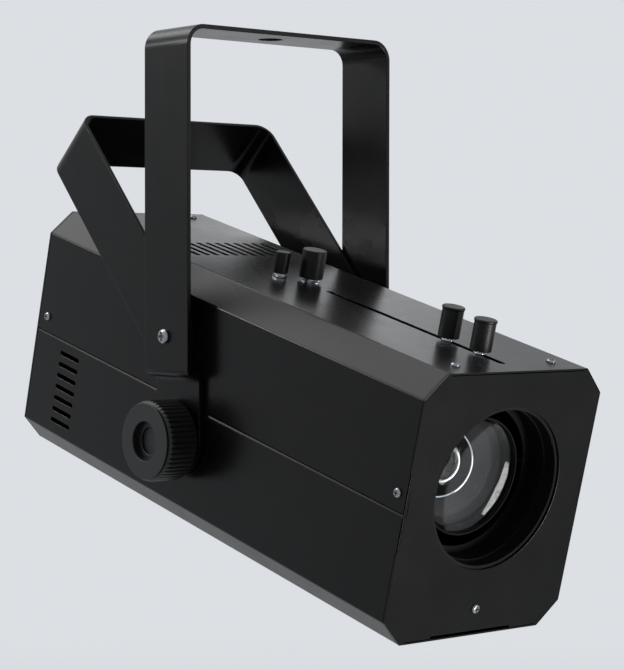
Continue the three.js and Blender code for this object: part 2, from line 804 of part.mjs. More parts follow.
const dimmerKnob = () => plainKnob(
  dimmerKnobRadius, top + dimmerKnobLift, dimmerKnobHeight, dimmerShaftRadius, dimmerOffset, dimmerY);

// Condenser, lamp plate and light source
const condenserFront = gateStart + gateSheet + condenserBehindGate;
const lampPlateStart = condenserFront + condenserLength + fit;
const firstSeat = condenserFront + condenserFirstSeat;
const condenserLensRadius = condenserRadius - condenserWall;
const secondLensRadius = condenserLensRadius - condenserStep;

function condenserHolder() {
  const end = condenserFront + condenserLength;
  const secondSeat = firstSeat + condenserLensGap;
  const flange = condenserRadius + condenserFlangeLip;
  return turnedY([
    [condenserLensRadius + fit, condenserFront], [condenserRadius, condenserFront],
    [condenserRadius, end - condenserFlangeSheet], [flange, end - condenserFlangeSheet],
    [flange, end], [secondLensRadius - condenserStep, end],
    [secondLensRadius - condenserStep, secondSeat], [secondLensRadius + fit, secondSeat],
    [secondLensRadius + fit, firstSeat], [condenserLensRadius + fit, firstSeat],
    [condenserLensRadius + fit, condenserFront],
  ], innerRound, 0, axis);
}

const firstEdge = firstSeat - fit - condenserLensEdge;
const condenserFrontLens = () => lens(
  condenserLensRadius, condenserLensEdge, condenserDomeRadius, firstEdge, innerRound);
const condenserRearLens = () => lens(
  secondLensRadius, condenserLensEdge, condenserRearDomeRadius, firstEdge + condenserLensGap, innerRound);

const lampPlate = () => bulkhead(lampPlateStart, lampPlateSheet, boardRadius + lampBoardGap);
const boardEnd = lampPlateStart + lampPlateSheet;
const ledBoard = () => turnedY(rod(boardRadius, boardEnd - boardThickness, boardEnd), midRound, 0, axis);

function ledEmitter() {
  const base = boardEnd - boardThickness - fit;
  const points = [[0, base]];
  for (let i = 0; i <= emitterSteps; i += 1) {
    const angle = (Math.PI / 2) * (i / emitterSteps);
    points.push([emitterRadius * Math.cos(angle), base - emitterRadius * Math.sin(angle)]);
  }
  points[points.length - 1][0] = 0;
  return turnedY(points, midRound, 0, axis);
}

const coolerStart = boardEnd + fit;

function cooler() {
  const half = coolerWidth / 2;
  const base = alongY(box(half, axis - half, axis + half), coolerStart, coolerStart + coolerBase);
  const fins = [];
  const pitch = (coolerWidth - coolerFinThickness) / (coolerFinCount - 1);
  for (let i = 0; i < coolerFinCount; i += 1) {
    const x = (i - (coolerFinCount - 1) / 2) * pitch;
    const fin = box(coolerFinThickness / 2, axis - half, axis + half, x);
    fins.push(alongY(fin, coolerStart, coolerStart + coolerDepth));
  }
  return join(base, ...fins);
}

const fanStart = coolerStart + coolerDepth + fit;
const fanEnd = fanStart + fanDepth;
const fanBore = fanSize / 2 - fanRim;

function fanFrame() {
  const half = fanSize / 2;
  const reach = half - fit;
  const shroud = alongY(box(half, axis - half, axis + half), fanStart, fanEnd);
  const bore = turnedY(rod(fanBore, fanStart - overrun, fanEnd + overrun), lensRound, 0, axis);
  const hub = turnedY(rod(fanHubRadius, fanEnd - fanStrutDepth, fanEnd), midRound, 0, axis);
  const struts = [
    box(reach, axis - fanStrut / 2, axis + fanStrut / 2), box(fanStrut / 2, axis - reach, axis + reach),
  ].map((shape) => alongY(shape, fanEnd - fanStrutDepth, fanEnd));
  const screws = [fanScrewInset - half, half - fanScrewInset];
  const holes = screws.flatMap((x) => screws.map((z) => turnedY(
    rod(fanScrewRadius, fanStart - overrun, fanEnd + overrun), tinyRound, x, axis + z)));
  return cut(join(cut(shroud, bore), hub, ...struts), ...holes);
}

function fanRotor() {
  const from = fanStart + fit;
  const to = fanEnd - fanStrutDepth - fit;
  const hub = turnedY(rod(fanHubRadius, from, to), midRound);
  const chord = (to - from) / Math.cos(THREE.MathUtils.degToRad(fanBladePitchDeg));
  const tip = fanBore - fanTipGap;
  const blades = [];
  for (let i = 0; i < fanBladeCount; i += 1) {
    const blade = new THREE.BoxGeometry(fanBladeThickness, chord, tip)
      .rotateZ(THREE.MathUtils.degToRad(fanBladePitchDeg))
      .translate(0, (from + to) / 2, fanHubRadius / 2 + tip / 2)
      .rotateY((Math.PI * 2 * i) / fanBladeCount);
    blades.push(solidOf(blade));
  }
  const limit = turnedY(rod(tip, from, to), lensRound);
  return join(hub, ...blades).intersect(limit).translate([0, 0, axis]);
}

// Driver board on four posts, mains inlet and fuse holder
function driverBoardUnit() {
  const from = fanEnd + driverAfterFan;
  const to = rear - inletDepth - driverBeforeInlet;
  const middle = (from + to) / 2;
  const foot = bottom + sheet + fit;
  const deck = foot + driverLift;
  const half = driverWidth / 2;
  const board = alongZ(box(half, from, to), deck, deck + driverBoard);
  const xs = [-half + driverInset, half - driverInset];
  const ys = [from + driverInset, to - driverInset];
  const posts = xs.flatMap((x) => ys.map((y) => turnedZ(
    rod(driverPostRadius, foot, deck + driverBoard), tinyRound, x, y)));
  const face = deck + driverBoard / 2;
  const chokeHalf = chokeSize / 2;
  const chokeTop = deck + driverBoard + chokeHeight;
  const choke = alongZ(box(chokeHalf, middle - chokeHalf, middle + chokeHalf, chokeOffset), face, chokeTop);
  const cans = [0, canPitch].map((x) => turnedZ(
    rod(canRadius, face, deck + driverBoard + canHeight), smallRound, x, middle));
  return join(board, ...posts, choke, ...cans);
}

function powerInlet() {
  const halfW = inletWidth / 2;
  const halfH = inletHeight / 2;
  const block = (grow, from, to) => alongY(
    box(halfW + grow, inletZ - halfH - grow, inletZ + halfH + grow, inletOffset), from, to);
  const flange = block(inletFlange, rear + fit, rear + fit + inletFlangeSheet);
  const body = block(0, rear - inletDepth, rear + fit + inletFlangeSheet);
  const well = block(-inletWall, rear - inletDepth + inletWall, rear + overrun);
  const pins = [-1, 0, 1].map((place) => {
    const foot = place === 0 ? inletZ : inletZ - inletPinHeight;
    const x = inletOffset + place * inletPinPitch;
    const shape = box(inletPinWidth / 2, foot, foot + inletPinHeight, x);
    return alongY(shape, rear - inletDepth, rear - inletDepth + inletPinLength);
  });
  return join(cut(join(flange, body), well), ...pins);
}

const fuseHolder = () => turnedY([
  [0, rear - fuseBodyLength], [fuseBodyRadius, rear - fuseBodyLength], [fuseBodyRadius, rear + fit],
  [fuseRadius, rear + fit], [fuseRadius, rear + fit + fuseHeight - smallBevel],
  [fuseRadius - smallBevel, rear + fit + fuseHeight], [0, rear + fit + fuseHeight],
], midRound, fuseOffset, inletZ);

// Tilt joint; side is -1 on the left and 1 on the right
const mirrored = (points, side) => points.map(([radius, place]) => [radius, side * place]);
const span = (side, from, to) => [side * from, side * to].sort((a, b) => a - b);

function nutPlate(side) {
  const outer = innerHalf - fit;
  const inner = outer - nutPlateThickness;
  const half = nutPlateSize / 2;
  const roof = seam - seamGap - flangeRoot - sheet - fit;
  const plate = alongX(box(half, -half, roof), ...span(side, inner, outer));
  const nut = turnedX(mirrored(rod(nutRadius, inner - nutHeight, (inner + outer) / 2), side), hexFlats);
  const boreStart = inner - nutHeight - overrun;
  const bore = turnedX(mirrored(rod(studRadius + fit, boreStart, outer + overrun), side), smallRound);
  return cut(join(plate, nut), bore);
}

const washerX = (bore, radius, from, thickness, side, segments, y = 0, z = 0) => turnedX(
  mirrored(tube(bore, radius, from, from + thickness), side), segments, y, z);

const frictionWasher = (side) => washerX(
  studBore, frictionRadius, halfWidth + fit, frictionSheet, side, midRound);
const spacerStart = legOuter + fit;
const spacer = (side) => washerX(studBore, spacerRadius, spacerStart, spacerThickness, side, midRound);
const knobStart = spacerStart + spacerThickness + fit;
const knobEnd = knobStart + tiltKnobLength;

function tiltStud(side) {
  const tip = halfWidth - studGrip + fit;
  const head = knobStart + tiltKnobBoreDepth - fit;
  return turnedX(mirrored(rod(studRadius, tip, head), side), smallRound);
}

function ribbedOutline(radius, depth) {
  const points = [];
  for (let i = 0; i < tiltKnobRibs * 2; i += 1) {
    const angle = (Math.PI * i) / tiltKnobRibs;
    const reach = i % 2 === 0 ? radius : radius - depth;
    points.push([reach * Math.cos(angle), reach * Math.sin(angle)]);
  }
  return polygon(points);
}

function tiltKnob(side) {
  const ribs = alongX(ribbedOutline(tiltKnobRadius, tiltKnobRibDepth), ...span(side, knobStart, knobEnd));
  const rearRadius = tiltKnobRadius - tiltKnobRearStep;
  const faceRadius = tiltKnobRadius - tiltKnobFaceStep;
  const faceRear = knobEnd - tiltKnobFaceSheet;
  const envelope = turnedX(mirrored([
    [0, knobStart], [rearRadius, knobStart], [rearRadius, knobStart + tiltKnobRearStep],
    [tiltKnobRadius + fit, knobStart + tiltKnobRearStep], [tiltKnobRadius + fit, faceRear - tiltKnobRibSlope],
    [faceRadius, faceRear], [faceRadius, knobEnd], [0, knobEnd],
  ], side), wideRound);
  const floor = knobEnd - tiltKnobRecessDepth;
  const wellFloor = floor - tiltKnobWellDepth;
  const recess = turnedX(mirrored([
    [0, wellFloor], [tiltKnobWellRadius, wellFloor], [tiltKnobWellRadius, floor], [tiltKnobRecess, floor],
    [tiltKnobRecess, knobEnd + overrun], [0, knobEnd + overrun],
  ], side), midRound);
  const boreEnd = knobStart + tiltKnobBoreDepth;
  const bore = turnedX(mirrored(rod(studRadius + fit, knobStart - overrun, boreEnd), side), smallRound);
  const hub = studRadius + tiltKnobWall + fit;
  const hollowEnd = knobStart + tiltKnobRearHollow;
  const hollow = turnedX(mirrored(
    tube(hub, rearRadius - tiltKnobWall, knobStart - overrun, hollowEnd), side), midRound);
  return cut(ribs.intersect(envelope), recess, bore, hollow);
}

// Straps: the yoke with its jog, and the plain folding bracket
function bendPoints(outer, height, thickness, bend) {
  const arc = (radius) => {
    const points = [];
    for (let i = 0; i <= bendSteps; i += 1) {
      const angle = (Math.PI / 2) * (i / bendSteps);
      points.push([outer - bend + radius * Math.cos(angle), height - bend + radius * Math.sin(angle)]);
    }
    return points;
  };
  return { outside: arc(bend), inside: arc(bend - thickness) };
}

const flipped = (points) => points.map(([x, z]) => [-x, z]).reverse();

// Front view of a strap, from the outer and the inner line of its right half
function strapOutline(outerLine, innerLine) {
  const left = [...flipped(outerLine), ...flipped(innerLine).reverse()];
  return polygon([...outerLine, ...left, ...innerLine.reverse()]);
}

// Side view that trims a strap: its ends are round about its pivot
function strapSide(height, end, reach) {
  const shape = new THREE.Shape();
  shape.moveTo(strapHalf, height + overrun);
  shape.lineTo(-strapHalf, height + overrun);
  shape.lineTo(-strapHalf, strapHalf);
  shape.lineTo(-end, 0);
  shape.absarc(0, 0, end, Math.PI, Math.PI * 2);
  shape.lineTo(strapHalf, strapHalf);
  shape.closePath();
  return alongX(shape, -reach, reach, smallRound);
}

function yoke() {
  const { outside, inside } = bendPoints(yokeOuter, yokeRise, yokeThickness, yokeBend);
  const half = [
    [legOuter, -strapHalf], [legOuter, jogPlace - jogDrop], [yokeOuter, jogPlace], ...outside,
  ];
  const innerLine = [
    [legInner, -strapHalf], [legInner, jogPlace - jogDrop + jogKink], [yokeInner, jogPlace + jogKink],
    ...inside,
  ];
  const strap = alongY(strapOutline(half, innerLine), -strapHalf, strapHalf);
  const reach = yokeOuter + overrun;
  const studHoles = alongX(disc(studBore), -reach, reach, smallRound);
  const pivotHoles = alongX(disc(screwBore, bracketPlace, bracketHeight), -reach, reach, smallRound);
  const underside = yokeRise - yokeThickness;
  const clampHole = alongZ(disc(clampHoleRadius), underside - overrun, yokeRise + overrun, midRound);
  return cut(strap.intersect(strapSide(yokeRise, strapHalf, reach)), studHoles, pivotHoles, clampHole);
}

function foldingBracket() {
  const { outside, inside } = bendPoints(bracketOuter, bracketLength, bracketThickness, bracketBend);
  const half = [[bracketOuter, -strapHalf], ...outside];
  const innerLine = [[bracketInner, -strapHalf], ...inside];
  const reach = bracketOuter + overrun;
  const holes = alongX(disc(screwBore), -reach, reach, smallRound);
  const strap = alongY(strapOutline(half, innerLine), -strapHalf, strapHalf);
  return cut(strap.intersect(strapSide(bracketLength, bracketEnd, reach)), holes);
}

// Pivot screw, washer and nut of the folding bracket
function pivotScrew(side) {
  const headStart = yokeOuter + fit;
  const headEnd = headStart + screwHeadHeight;
  const tip = bracketInner - fit - screwNutHeight - fit;
  return turnedX(mirrored([
    [0, tip], [screwRadius, tip], [screwRadius, headStart], [screwHeadRadius, headStart],
    [screwHeadRadius, headStart + screwHeadEdge], [screwHeadRadius - smallBevel, headEnd - smallBevel],
    [screwHeadRadius - screwHeadCrown, headEnd], [screwSocketRadius, headEnd],
    [screwSocketRadius, headEnd - screwSocketDepth], [0, headEnd - screwSocketDepth],
  ], side), smallRound, bracketPlace, bracketHeight);
}

const swivelWasher = (side) => washerX(
  screwBore, swivelRadius, bracketOuter + fit, swivelSheet, side, midRound, bracketPlace, bracketHeight);

function pivotNut(side) {
  const from = bracketInner - fit - screwNutHeight;
  const to = bracketInner - fit;
  const at = [bracketPlace, bracketHeight];
  const nut = turnedX(mirrored(rod(screwNutRadius, from, to), side), hexFlats, ...at);
  const bore = turnedX(mirrored(rod(screwBore, from - overrun, to + overrun), side), smallRound, ...at);
  return cut(nut, bore);
}

// Assembly
const sides = [['left', -1], ['right', 1]];

const projector = new THREE.Group();
const tiltFrame = new THREE.Group();
tiltFrame.position.z = -yokeRise;
projector.add(tiltFrame);

tiltFrame.add(piece('yoke', yoke(), blackPaint));
for (const [word, side] of sides) {
  tiltFrame.add(piece(`pivot_screw_${word}`, pivotScrew(side), brightSteel));
  tiltFrame.add(piece(`swivel_washer_${word}`, swivelWasher(side), nylon));
  tiltFrame.add(piece(`pivot_nut_${word}`, pivotNut(side), brightSteel));
}

const bracketFrame = new THREE.Group();
bracketFrame.position.set(0, bracketPlace, bracketHeight);
bracketFrame.rotation.x = -THREE.MathUtils.degToRad(bracketLeanDeg);
bracketFrame.add(piece('folding_bracket', foldingBracket(), blackPaint));
tiltFrame.add(bracketFrame);

const housing = new THREE.Group();
housing.rotation.x = THREE.MathUtils.degToRad(housingTiltDeg);
tiltFrame.add(housing);

housing.add(piece('upper_shell', upperShell(), blackPaint));
housing.add(piece('lower_shell', lowerShell(), blackPaint));
housing.add(piece('front_plate', frontPlate(), blackPaint));
housing.add(piece('rear_panel', rearPanel(), blackPaint));
housing.add(piece('lens_hood', lensHood(), blackPlastic));
for (const [word, side] of sides) {
  housing.add(piece(`guide_rod_${word}`, guideRod(side * rodReach), brightSteel));
  housing.add(piece(`nut_plate_${word}`, nutPlate(side), brightSteel));
  housing.add(piece(`friction_washer_${word}`, frictionWasher(side), nylon));
  housing.add(piece(`knob_spacer_${word}`, spacer(side), brightSteel));
  housing.add(piece(`tilt_stud_${word}`, tiltStud(side), brightSteel));
  housing.add(piece(`tilt_knob_${word}`, tiltKnob(side), blackPlastic));
}

housing.add(piece('focus_barrel', barrel(focusGroup), darkAluminium));
housing.add(piece('focus_lens', lensOf(focusGroup), clearGlass));
housing.add(piece('focus_ring', retainingRing(focusGroup), blackPlastic));
housing.add(piece('focus_stem', stem(focusGroup), brightSteel));
housing.add(piece('focus_knob', slideKnob(focusGroup), blackPlastic));
housing.add(piece('zoom_barrel', barrel(zoomGroup), darkAluminium));
housing.add(piece('zoom_lens', lensOf(zoomGroup), clearGlass));
housing.add(piece('zoom_ring', retainingRing(zoomGroup), blackPlastic));
housing.add(piece('zoom_stem', stem(zoomGroup), brightSteel));
housing.add(piece('zoom_knob', slideKnob(zoomGroup), blackPlastic));

housing.add(piece('gate_plate', gatePlate(), blackInside));
housing.add(piece('gobo_holder', goboHolder(), blackPlastic));
housing.add(piece('gobo_ring', goboRing(), aluminium));
housing.add(piece('gobo_disc', goboDisc(), goboGlass));
housing.add(piece('gobo_clip', goboClip(), brightSteel));
housing.add(piece('index_bush', indexBush(), aluminium));
housing.add(piece('index_shaft', indexShaft(), brightSteel));
housing.add(piece('gobo_roller', goboRoller(), nylon));
housing.add(piece('index_knob', indexKnob(), blackPlastic));
housing.add(piece('dimmer_potentiometer', dimmerPotentiometer(), aluminium));
housing.add(piece('dimmer_nut', dimmerNut(), brightSteel));
housing.add(piece('dimmer_shaft', dimmerShaft(), brightSteel));
housing.add(piece('dimmer_knob', dimmerKnob(), blackPlastic));

housing.add(piece('condenser_holder', condenserHolder(), blackPlastic));
housing.add(piece('condenser_front_lens', condenserFrontLens(), clearGlass));
housing.add(piece('condenser_rear_lens', condenserRearLens(), clearGlass));
housing.add(piece('lamp_plate', lampPlate(), aluminium));
housing.add(piece('led_board', ledBoard(), whiteBoard));
housing.add(piece('led_emitter', ledEmitter(), yellowPhosphor));
housing.add(piece('heat_sink', cooler(), darkAluminium));
housing.add(piece('fan_frame', fanFrame(), blackPlastic));
housing.add(piece('fan_rotor', fanRotor(), blackPlastic));
housing.add(piece('driver_board', driverBoardUnit(), greenBoard));
housing.add(piece('power_inlet', powerInlet(), blackPlastic));
housing.add(piece('fuse_holder', fuseHolder(), blackPlastic));

export default projector;
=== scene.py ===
"""Visual model of a gobo projector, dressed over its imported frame.

Sizes are in millimetres and hold in the frame of the sub-assembly that they belong to. The place of that
sub-assembly turns them into metres in the row frame as each piece is finished.
"""

import logging
import math
from dataclasses import dataclass, field
from enum import Enum

import bmesh
import bpy
from mathutils import Matrix, Vector


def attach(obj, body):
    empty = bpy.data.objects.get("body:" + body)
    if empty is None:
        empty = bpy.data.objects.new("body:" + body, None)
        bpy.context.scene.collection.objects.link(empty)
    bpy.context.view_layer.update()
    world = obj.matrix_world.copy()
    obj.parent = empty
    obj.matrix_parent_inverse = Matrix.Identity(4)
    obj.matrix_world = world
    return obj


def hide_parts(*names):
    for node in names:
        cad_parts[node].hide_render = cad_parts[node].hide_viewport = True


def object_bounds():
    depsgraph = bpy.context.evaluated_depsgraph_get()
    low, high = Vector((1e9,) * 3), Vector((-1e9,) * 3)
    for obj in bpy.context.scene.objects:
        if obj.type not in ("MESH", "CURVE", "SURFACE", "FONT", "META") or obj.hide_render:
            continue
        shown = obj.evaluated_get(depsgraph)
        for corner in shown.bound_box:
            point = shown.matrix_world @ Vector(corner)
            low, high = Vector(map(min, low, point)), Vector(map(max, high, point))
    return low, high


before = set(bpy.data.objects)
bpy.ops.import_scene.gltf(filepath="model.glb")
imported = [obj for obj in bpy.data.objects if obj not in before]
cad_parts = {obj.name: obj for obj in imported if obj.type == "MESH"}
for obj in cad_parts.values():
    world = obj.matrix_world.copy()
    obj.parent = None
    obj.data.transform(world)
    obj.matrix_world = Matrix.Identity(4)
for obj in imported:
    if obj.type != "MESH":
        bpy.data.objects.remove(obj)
CAD_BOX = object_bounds()

LOG = logging.getLogger("projector")
MM = 0.001

# Where the sub-assemblies stand, from the clamp hole on top of the yoke
YOKE_RISE = 272.4
HOUSING_TILT_DEG = 14.7
BRACKET_LEAN_DEG = -42.1
BRACKET_PIVOT_Y = 1.1
BRACKET_PIVOT_Z = 68.309

# Faces over this many square metres stay flat up to their edges
FLAT_AREA = 0.0002

# How far a cutter overruns, and how near or flat counts as the same place or plane
OVERRUN = 5.0
NEAR = 1e-3
MERGE = 1e-4
FLAT_DEG = 0.5

# Edges that turn by more than this are softened; the fine steps of small turned pieces turn less
SHARP_DEG = 28.0
TURNED_DEG = 20.0
EDGE_FLATS = 2
ROUND_PROFILE = 0.5
FLAT_WEIGHT = 100

# The two sides, as signs of X
SIDES = (-1, 1)
SIDE_WORDS = {"left": -1, "right": 1}

# Sizes that several sub-assemblies share
FIT = 0.3
PANEL = 1.5
HOUSING_WIDTH = 150.0
HOUSING_HEIGHT = 170.6
NOSE_LENGTH = 218.1
TAIL_LENGTH = 188.3
MIDDLE_RISE = 25.1
TOP = MIDDLE_RISE + HOUSING_HEIGHT / 2
BOTTOM = MIDDLE_RISE - HOUSING_HEIGHT / 2
FRONT = -NOSE_LENGTH
REAR = TAIL_LENGTH
OPTICAL_AXIS = MIDDLE_RISE + 10.1
SLOT_START = 15.1
SLOT_END = 184.3
FOCUS_PLACE = 36.7
ZOOM_PLACE = 65.9
INDEX_PLACE = 209.3
INDEX_OFFSET = 4.8
DIMMER_PLACE = 221.5
DIMMER_OFFSET = -12.0
NUT_BORE = 3.7
KNOB_LEAD = 0.4
KNOB_CROWN = 0.45

# A pan head: shares of its radius and height, flats of its crown and the recess cutter's overrun
HEAD_FALL_SHARE = 0.75
RECESS_REACH_SHARE = 0.6
RECESS_WIDTH_SHARE = 0.15
RECESS_FLOOR_SHARE = 0.3
HEAD_FLATS = 6
HEAD_OVERRUN = 1.0


class Round(Enum):
    """Number of flats on a turned piece, by how large it shows."""

    RIBBED = 384
    WIDE = 128
    MIDDLE = 80
    SMALL = 48
    TINY = 24


class Axis(Enum):
    """Direction that a turned piece or a prism runs along."""

    X = "X"
    Y = "Y"
    Z = "Z"


class Change(Enum):
    """What a boolean does to a body with its tools."""

    CUT = "DIFFERENCE"
    JOIN = "UNION"
    KEEP = "INTERSECT"


Points = list[tuple[float, float]]
Place = tuple[float, float, float]
Mesh = bmesh.types.BMesh
Tree = bpy.types.NodeTree
Socket = bpy.types.NodeSocket


def place_of(tilt_deg: float, y: float = 0.0, z: float = 0.0) -> Matrix:
    """Give the matrix from a sub-assembly's millimetres to the row's metres.

    Args:
        tilt_deg: turn about X, positive with the nose down.
        y: place of the sub-assembly's own origin along Y, from the tilt axle.
        z: height of that origin over the tilt axle.

    Returns:
        The matrix that scales, turns and moves.
    """
    shift = Matrix.Translation((0, y * MM, (z - YOKE_RISE) * MM))
    return shift @ Matrix.Rotation(math.radians(tilt_deg), 4, "X") @ Matrix.Scale(MM, 4)


YOKE_FRAME = place_of(0.0)
HOUSING_FRAME = place_of(HOUSING_TILT_DEG)
BRACKET_FRAME = place_of(BRACKET_LEAN_DEG, BRACKET_PIVOT_Y, BRACKET_PIVOT_Z)


def from_front(distance: float) -> float:
    """Give the housing's Y of a place that is measured from the front plate."""
    return FRONT + distance


# Colours and materials


def linear(code: str) -> tuple[float, float, float, float]:
    """Turn an sRGB hex colour into linear values with a full alpha.

    Args:
        code: six hexadecimal digits.

    Returns:
        Red, green, blue and alpha.
    """
    values = [int(code[i:i + 2], 16) / 255 for i in (0, 2, 4)]
    steps = [v / 12.92 if v <= 0.04045 else ((v + 0.055) / 1.055) ** 2.4 for v in values]
    return (*steps, 1.0)


def per_metre(size_mm: float) -> float:
    """Give the texture scale at which a pattern repeats at a size in millimetres."""
    return 1.0 / (size_mm * MM)


def add_node(tree: Tree, kind: str, settings: dict | None = None,
             links: dict | None = None) -> bpy.types.Node:
    """Add a shader node with its settings and links.

    Args:
        tree: node tree that takes it.
        kind: Blender's name of the node type.
        settings: socket values by socket name, or properties by their own name.
        links: output sockets by the name of the input that they feed.

    Returns:
        The node.
    """
    node = tree.nodes.new(kind)
    for key, value in (settings or {}).items():
        if key in node.inputs:
            node.inputs[key].default_value = value
        else:
            setattr(node, key, value)
    for key, socket in (links or {}).items():
        tree.links.new(socket, node.inputs[key])
    return node


@dataclass(frozen=True)
class Finish:
    """A plain dielectric or metal surface with fine grain; the base of every other finish.

    The grain is too fine to show at its real size, so it is drawn as coarse as it needs to show.
    """

    name: str
    slot: str
    colour: str
    roughness: float
    metallic: float = 0.0
    specular: float = 0.5
    grain_mm: float = 0.5
    grain_depth_mm: float = 0.01
    grain_detail: float = 2.0
    cloud_mm: float = 30.0
    cloud_detail: float = 3.0
    roughness_spread: float = 0.05
    colour_spread: float = 0.12
    noise_low: float = 0.3
    noise_high: float = 0.7

    def material(self) -> bpy.types.Material:
        """Give the finish as a material, made once.

        Returns:
            The material.
        """
        found = bpy.data.materials.get(self.name)
        if found:
            return found
        made = bpy.data.materials.new(self.name)
        made.use_nodes = True
        tree = made.node_tree
        tree.nodes.clear()
        output = add_node(tree, "ShaderNodeOutputMaterial")
        shader = self.shader(tree)
        tree.links.new(shader.outputs[0], output.inputs["Surface"])
        return made

    def shader(self, tree: Tree) -> bpy.types.Node:
        """Build the surface shader.

        Args:
            tree: node tree of the material.

        Returns:
            The shader node.
        """
        place = add_node(tree, "ShaderNodeTexCoord").outputs["Object"]
        cloud = add_node(tree, "ShaderNodeTexNoise",
                         {"Scale": per_metre(self.cloud_mm), "Detail": self.cloud_detail},
                         {"Vector": place}).outputs["Fac"]
        grain = add_node(tree, "ShaderNodeTexNoise",
                         {"Scale": per_metre(self.grain_mm), "Detail": self.grain_detail},
                         {"Vector": place}).outputs["Fac"]
        height = self.height(tree, place, grain)
        bump = add_node(tree, "ShaderNodeBump", {"Distance": self.grain_depth_mm * MM, "Strength": 1.0},
                        {"Height": height})
        return add_node(
            tree, "ShaderNodeBsdfPrincipled",
            {"Metallic": self.metallic, "Specular IOR Level": self.specular},
            {"Base Color": self.tint(tree, cloud), "Roughness": self.sheen(tree, cloud),
             "Normal": bump.outputs["Normal"]},
        )

    def height(self, tree: Tree, place: Socket, grain: Socket) -> Socket:
        """Give the height that the bump reads; here the grain alone."""
        return grain

    def sheen(self, tree: Tree, cloud: Socket) -> Socket:
        """Give a roughness that drifts a little over the surface.

        Args:
            tree: node tree of the material.
            cloud: noise that it follows.

        Returns:
            The roughness.
        """
        drift = add_node(tree, "ShaderNodeMapRange", {
            "From Min": self.noise_low, "From Max": self.noise_high,
            "To Min": self.roughness - self.roughness_spread,
            "To Max": self.roughness + self.roughness_spread,
        }, {"Value": cloud})
        return drift.outputs["Result"]

    def tint(self, tree: Tree, cloud: Socket) -> Socket:
        """Give the colour, a little darker and lighter in clouds.

        Args:
            tree: node tree of the material.
            cloud: noise that it follows.

        Returns:
            The colour.
        """
        base = linear(self.colour)
        dark = tuple(v * (1 - self.colour_spread) for v in base[:3]) + (1.0,)
        light = tuple(v * (1 + self.colour_spread) for v in base[:3]) + (1.0,)
        factor = add_node(tree, "ShaderNodeMapRange", {
            "From Min": self.noise_low, "From Max": self.noise_high, "To Min": 0.0, "To Max": 1.0,
        }, {"Value": cloud})
        ramp = add_node(tree, "ShaderNodeValToRGB", links={"Fac": factor.outputs["Result"]})
        ramp.color_ramp.elements[0].color = dark
        ramp.color_ramp.elements[1].color = light
        return ramp.outputs["Color"]


@dataclass(frozen=True)
class PowderCoat(Finish):
    """Polyester powder coat on sheet steel: a satin film with a shallow orange peel."""

    peel_mm: float = 2.4
    peel_detail: float = 1.0
    peel_share: float = 0.75

    def height(self, tree: Tree, place: Socket, grain: Socket) -> Socket:
        """Mix the shallow peel of the film with the grain of the powder.

        Args:
            tree: node tree of the material.
            place: point on the piece.
            grain: the fine grain.

        Returns:
            The height.
        """
        peel = add_node(tree, "ShaderNodeTexNoise",
                        {"Scale": per_metre(self.peel_mm), "Detail": self.peel_detail},
                        {"Vector": place}).outputs["Fac"]
        mix = add_node(tree, "ShaderNodeMix", {"Factor": self.peel_share}, {"A": grain, "B": peel})
        return mix.outputs["Result"]


@dataclass(frozen=True)
class BrushedMetal(Finish):
    """Turned or drawn bright metal: fine lines along one direction, under a thin plating."""

    line_mm: float = 0.3
    line_stretch: float = 12.0
    line_detail: float = 2.0

    def height(self, tree: Tree, place: Socket, grain: Socket) -> Socket:
        """Draw the lines that the tool left.

        Args:
            tree: node tree of the material.
            place: point on the piece.
            grain: the fine grain.

        Returns:
            The height.
        """
        stretched = add_node(tree, "ShaderNodeMapping", {"Scale": (1.0, self.line_stretch, 1.0)},
                             {"Vector": place})
        lines = add_node(tree, "ShaderNodeTexNoise",
                         {"Scale": per_metre(self.line_mm * self.line_stretch), "Detail": self.line_detail},
                         {"Vector": stretched.outputs["Vector"]})
        return lines.outputs["Fac"]


@dataclass(frozen=True)
class ClearGlass(Finish):
    """Polished optical glass with an anti-reflection coating that leaves a faint cool tint."""

    ior: float = 1.52
    coating: str = "06070a"
    bare: str = "ffffff"

    def shader(self, tree: Tree) -> bpy.types.Node:
        """Build a transmitting shader whose coating dims what the glass reflects outwards.

        Args:
            tree: node tree of the material.

        Returns:
            The shader node.
        """
        inside = add_node(tree, "ShaderNodeNewGeometry").outputs["Backfacing"]
        mirrored = add_node(tree, "ShaderNodeValToRGB", links={"Fac": inside})
        mirrored.color_ramp.elements[0].color = linear(self.coating)
        mirrored.color_ramp.elements[1].color = linear(self.bare)
        return add_node(tree, "ShaderNodeBsdfPrincipled", {
            "Base Color": linear(self.colour), "Roughness": self.roughness, "IOR": self.ior,
            "Transmission Weight": 1.0,
        }, {"Specular Tint": mirrored.outputs["Color"]})


# Housing and straps: near black, with a soft sheen that pools on the top and runs along the folds
BLACK_PAINT = PowderCoat("satin_black_powder_coat", "black_paint", "060606", 0.27, specular=0.15,
                         grain_mm=0.35, grain_depth_mm=0.0018, roughness_spread=0.02)

# Gate plate: black that swallows light behind the lenses
INSIDE_PAINT = PowderCoat("flat_black_powder_coat", "black_paint", "050506", 0.6, specular=0.3,
                          grain_mm=0.35, grain_depth_mm=0.006)

# Holders, fan and connectors: plain moulded black with a dull shine
BLACK_ABS = Finish("moulded_black_abs", "black_plastic", "060607", 0.38, specular=0.3, grain_mm=0.4)

# Tilt knobs: a shade greyer than the housing, so that the ribs read
KNOB_ABS = Finish("moulded_grey_black_abs", "black_plastic", "0d0d0e", 0.42, specular=0.3,
                  grain_depth_mm=0.02)

# Small knobs: the deepest black on top, with only a thin gleam along the cap
SOFT_BLACK = Finish("moulded_flat_black_plastic", "black_plastic", "040404", 0.44, specular=0.22)

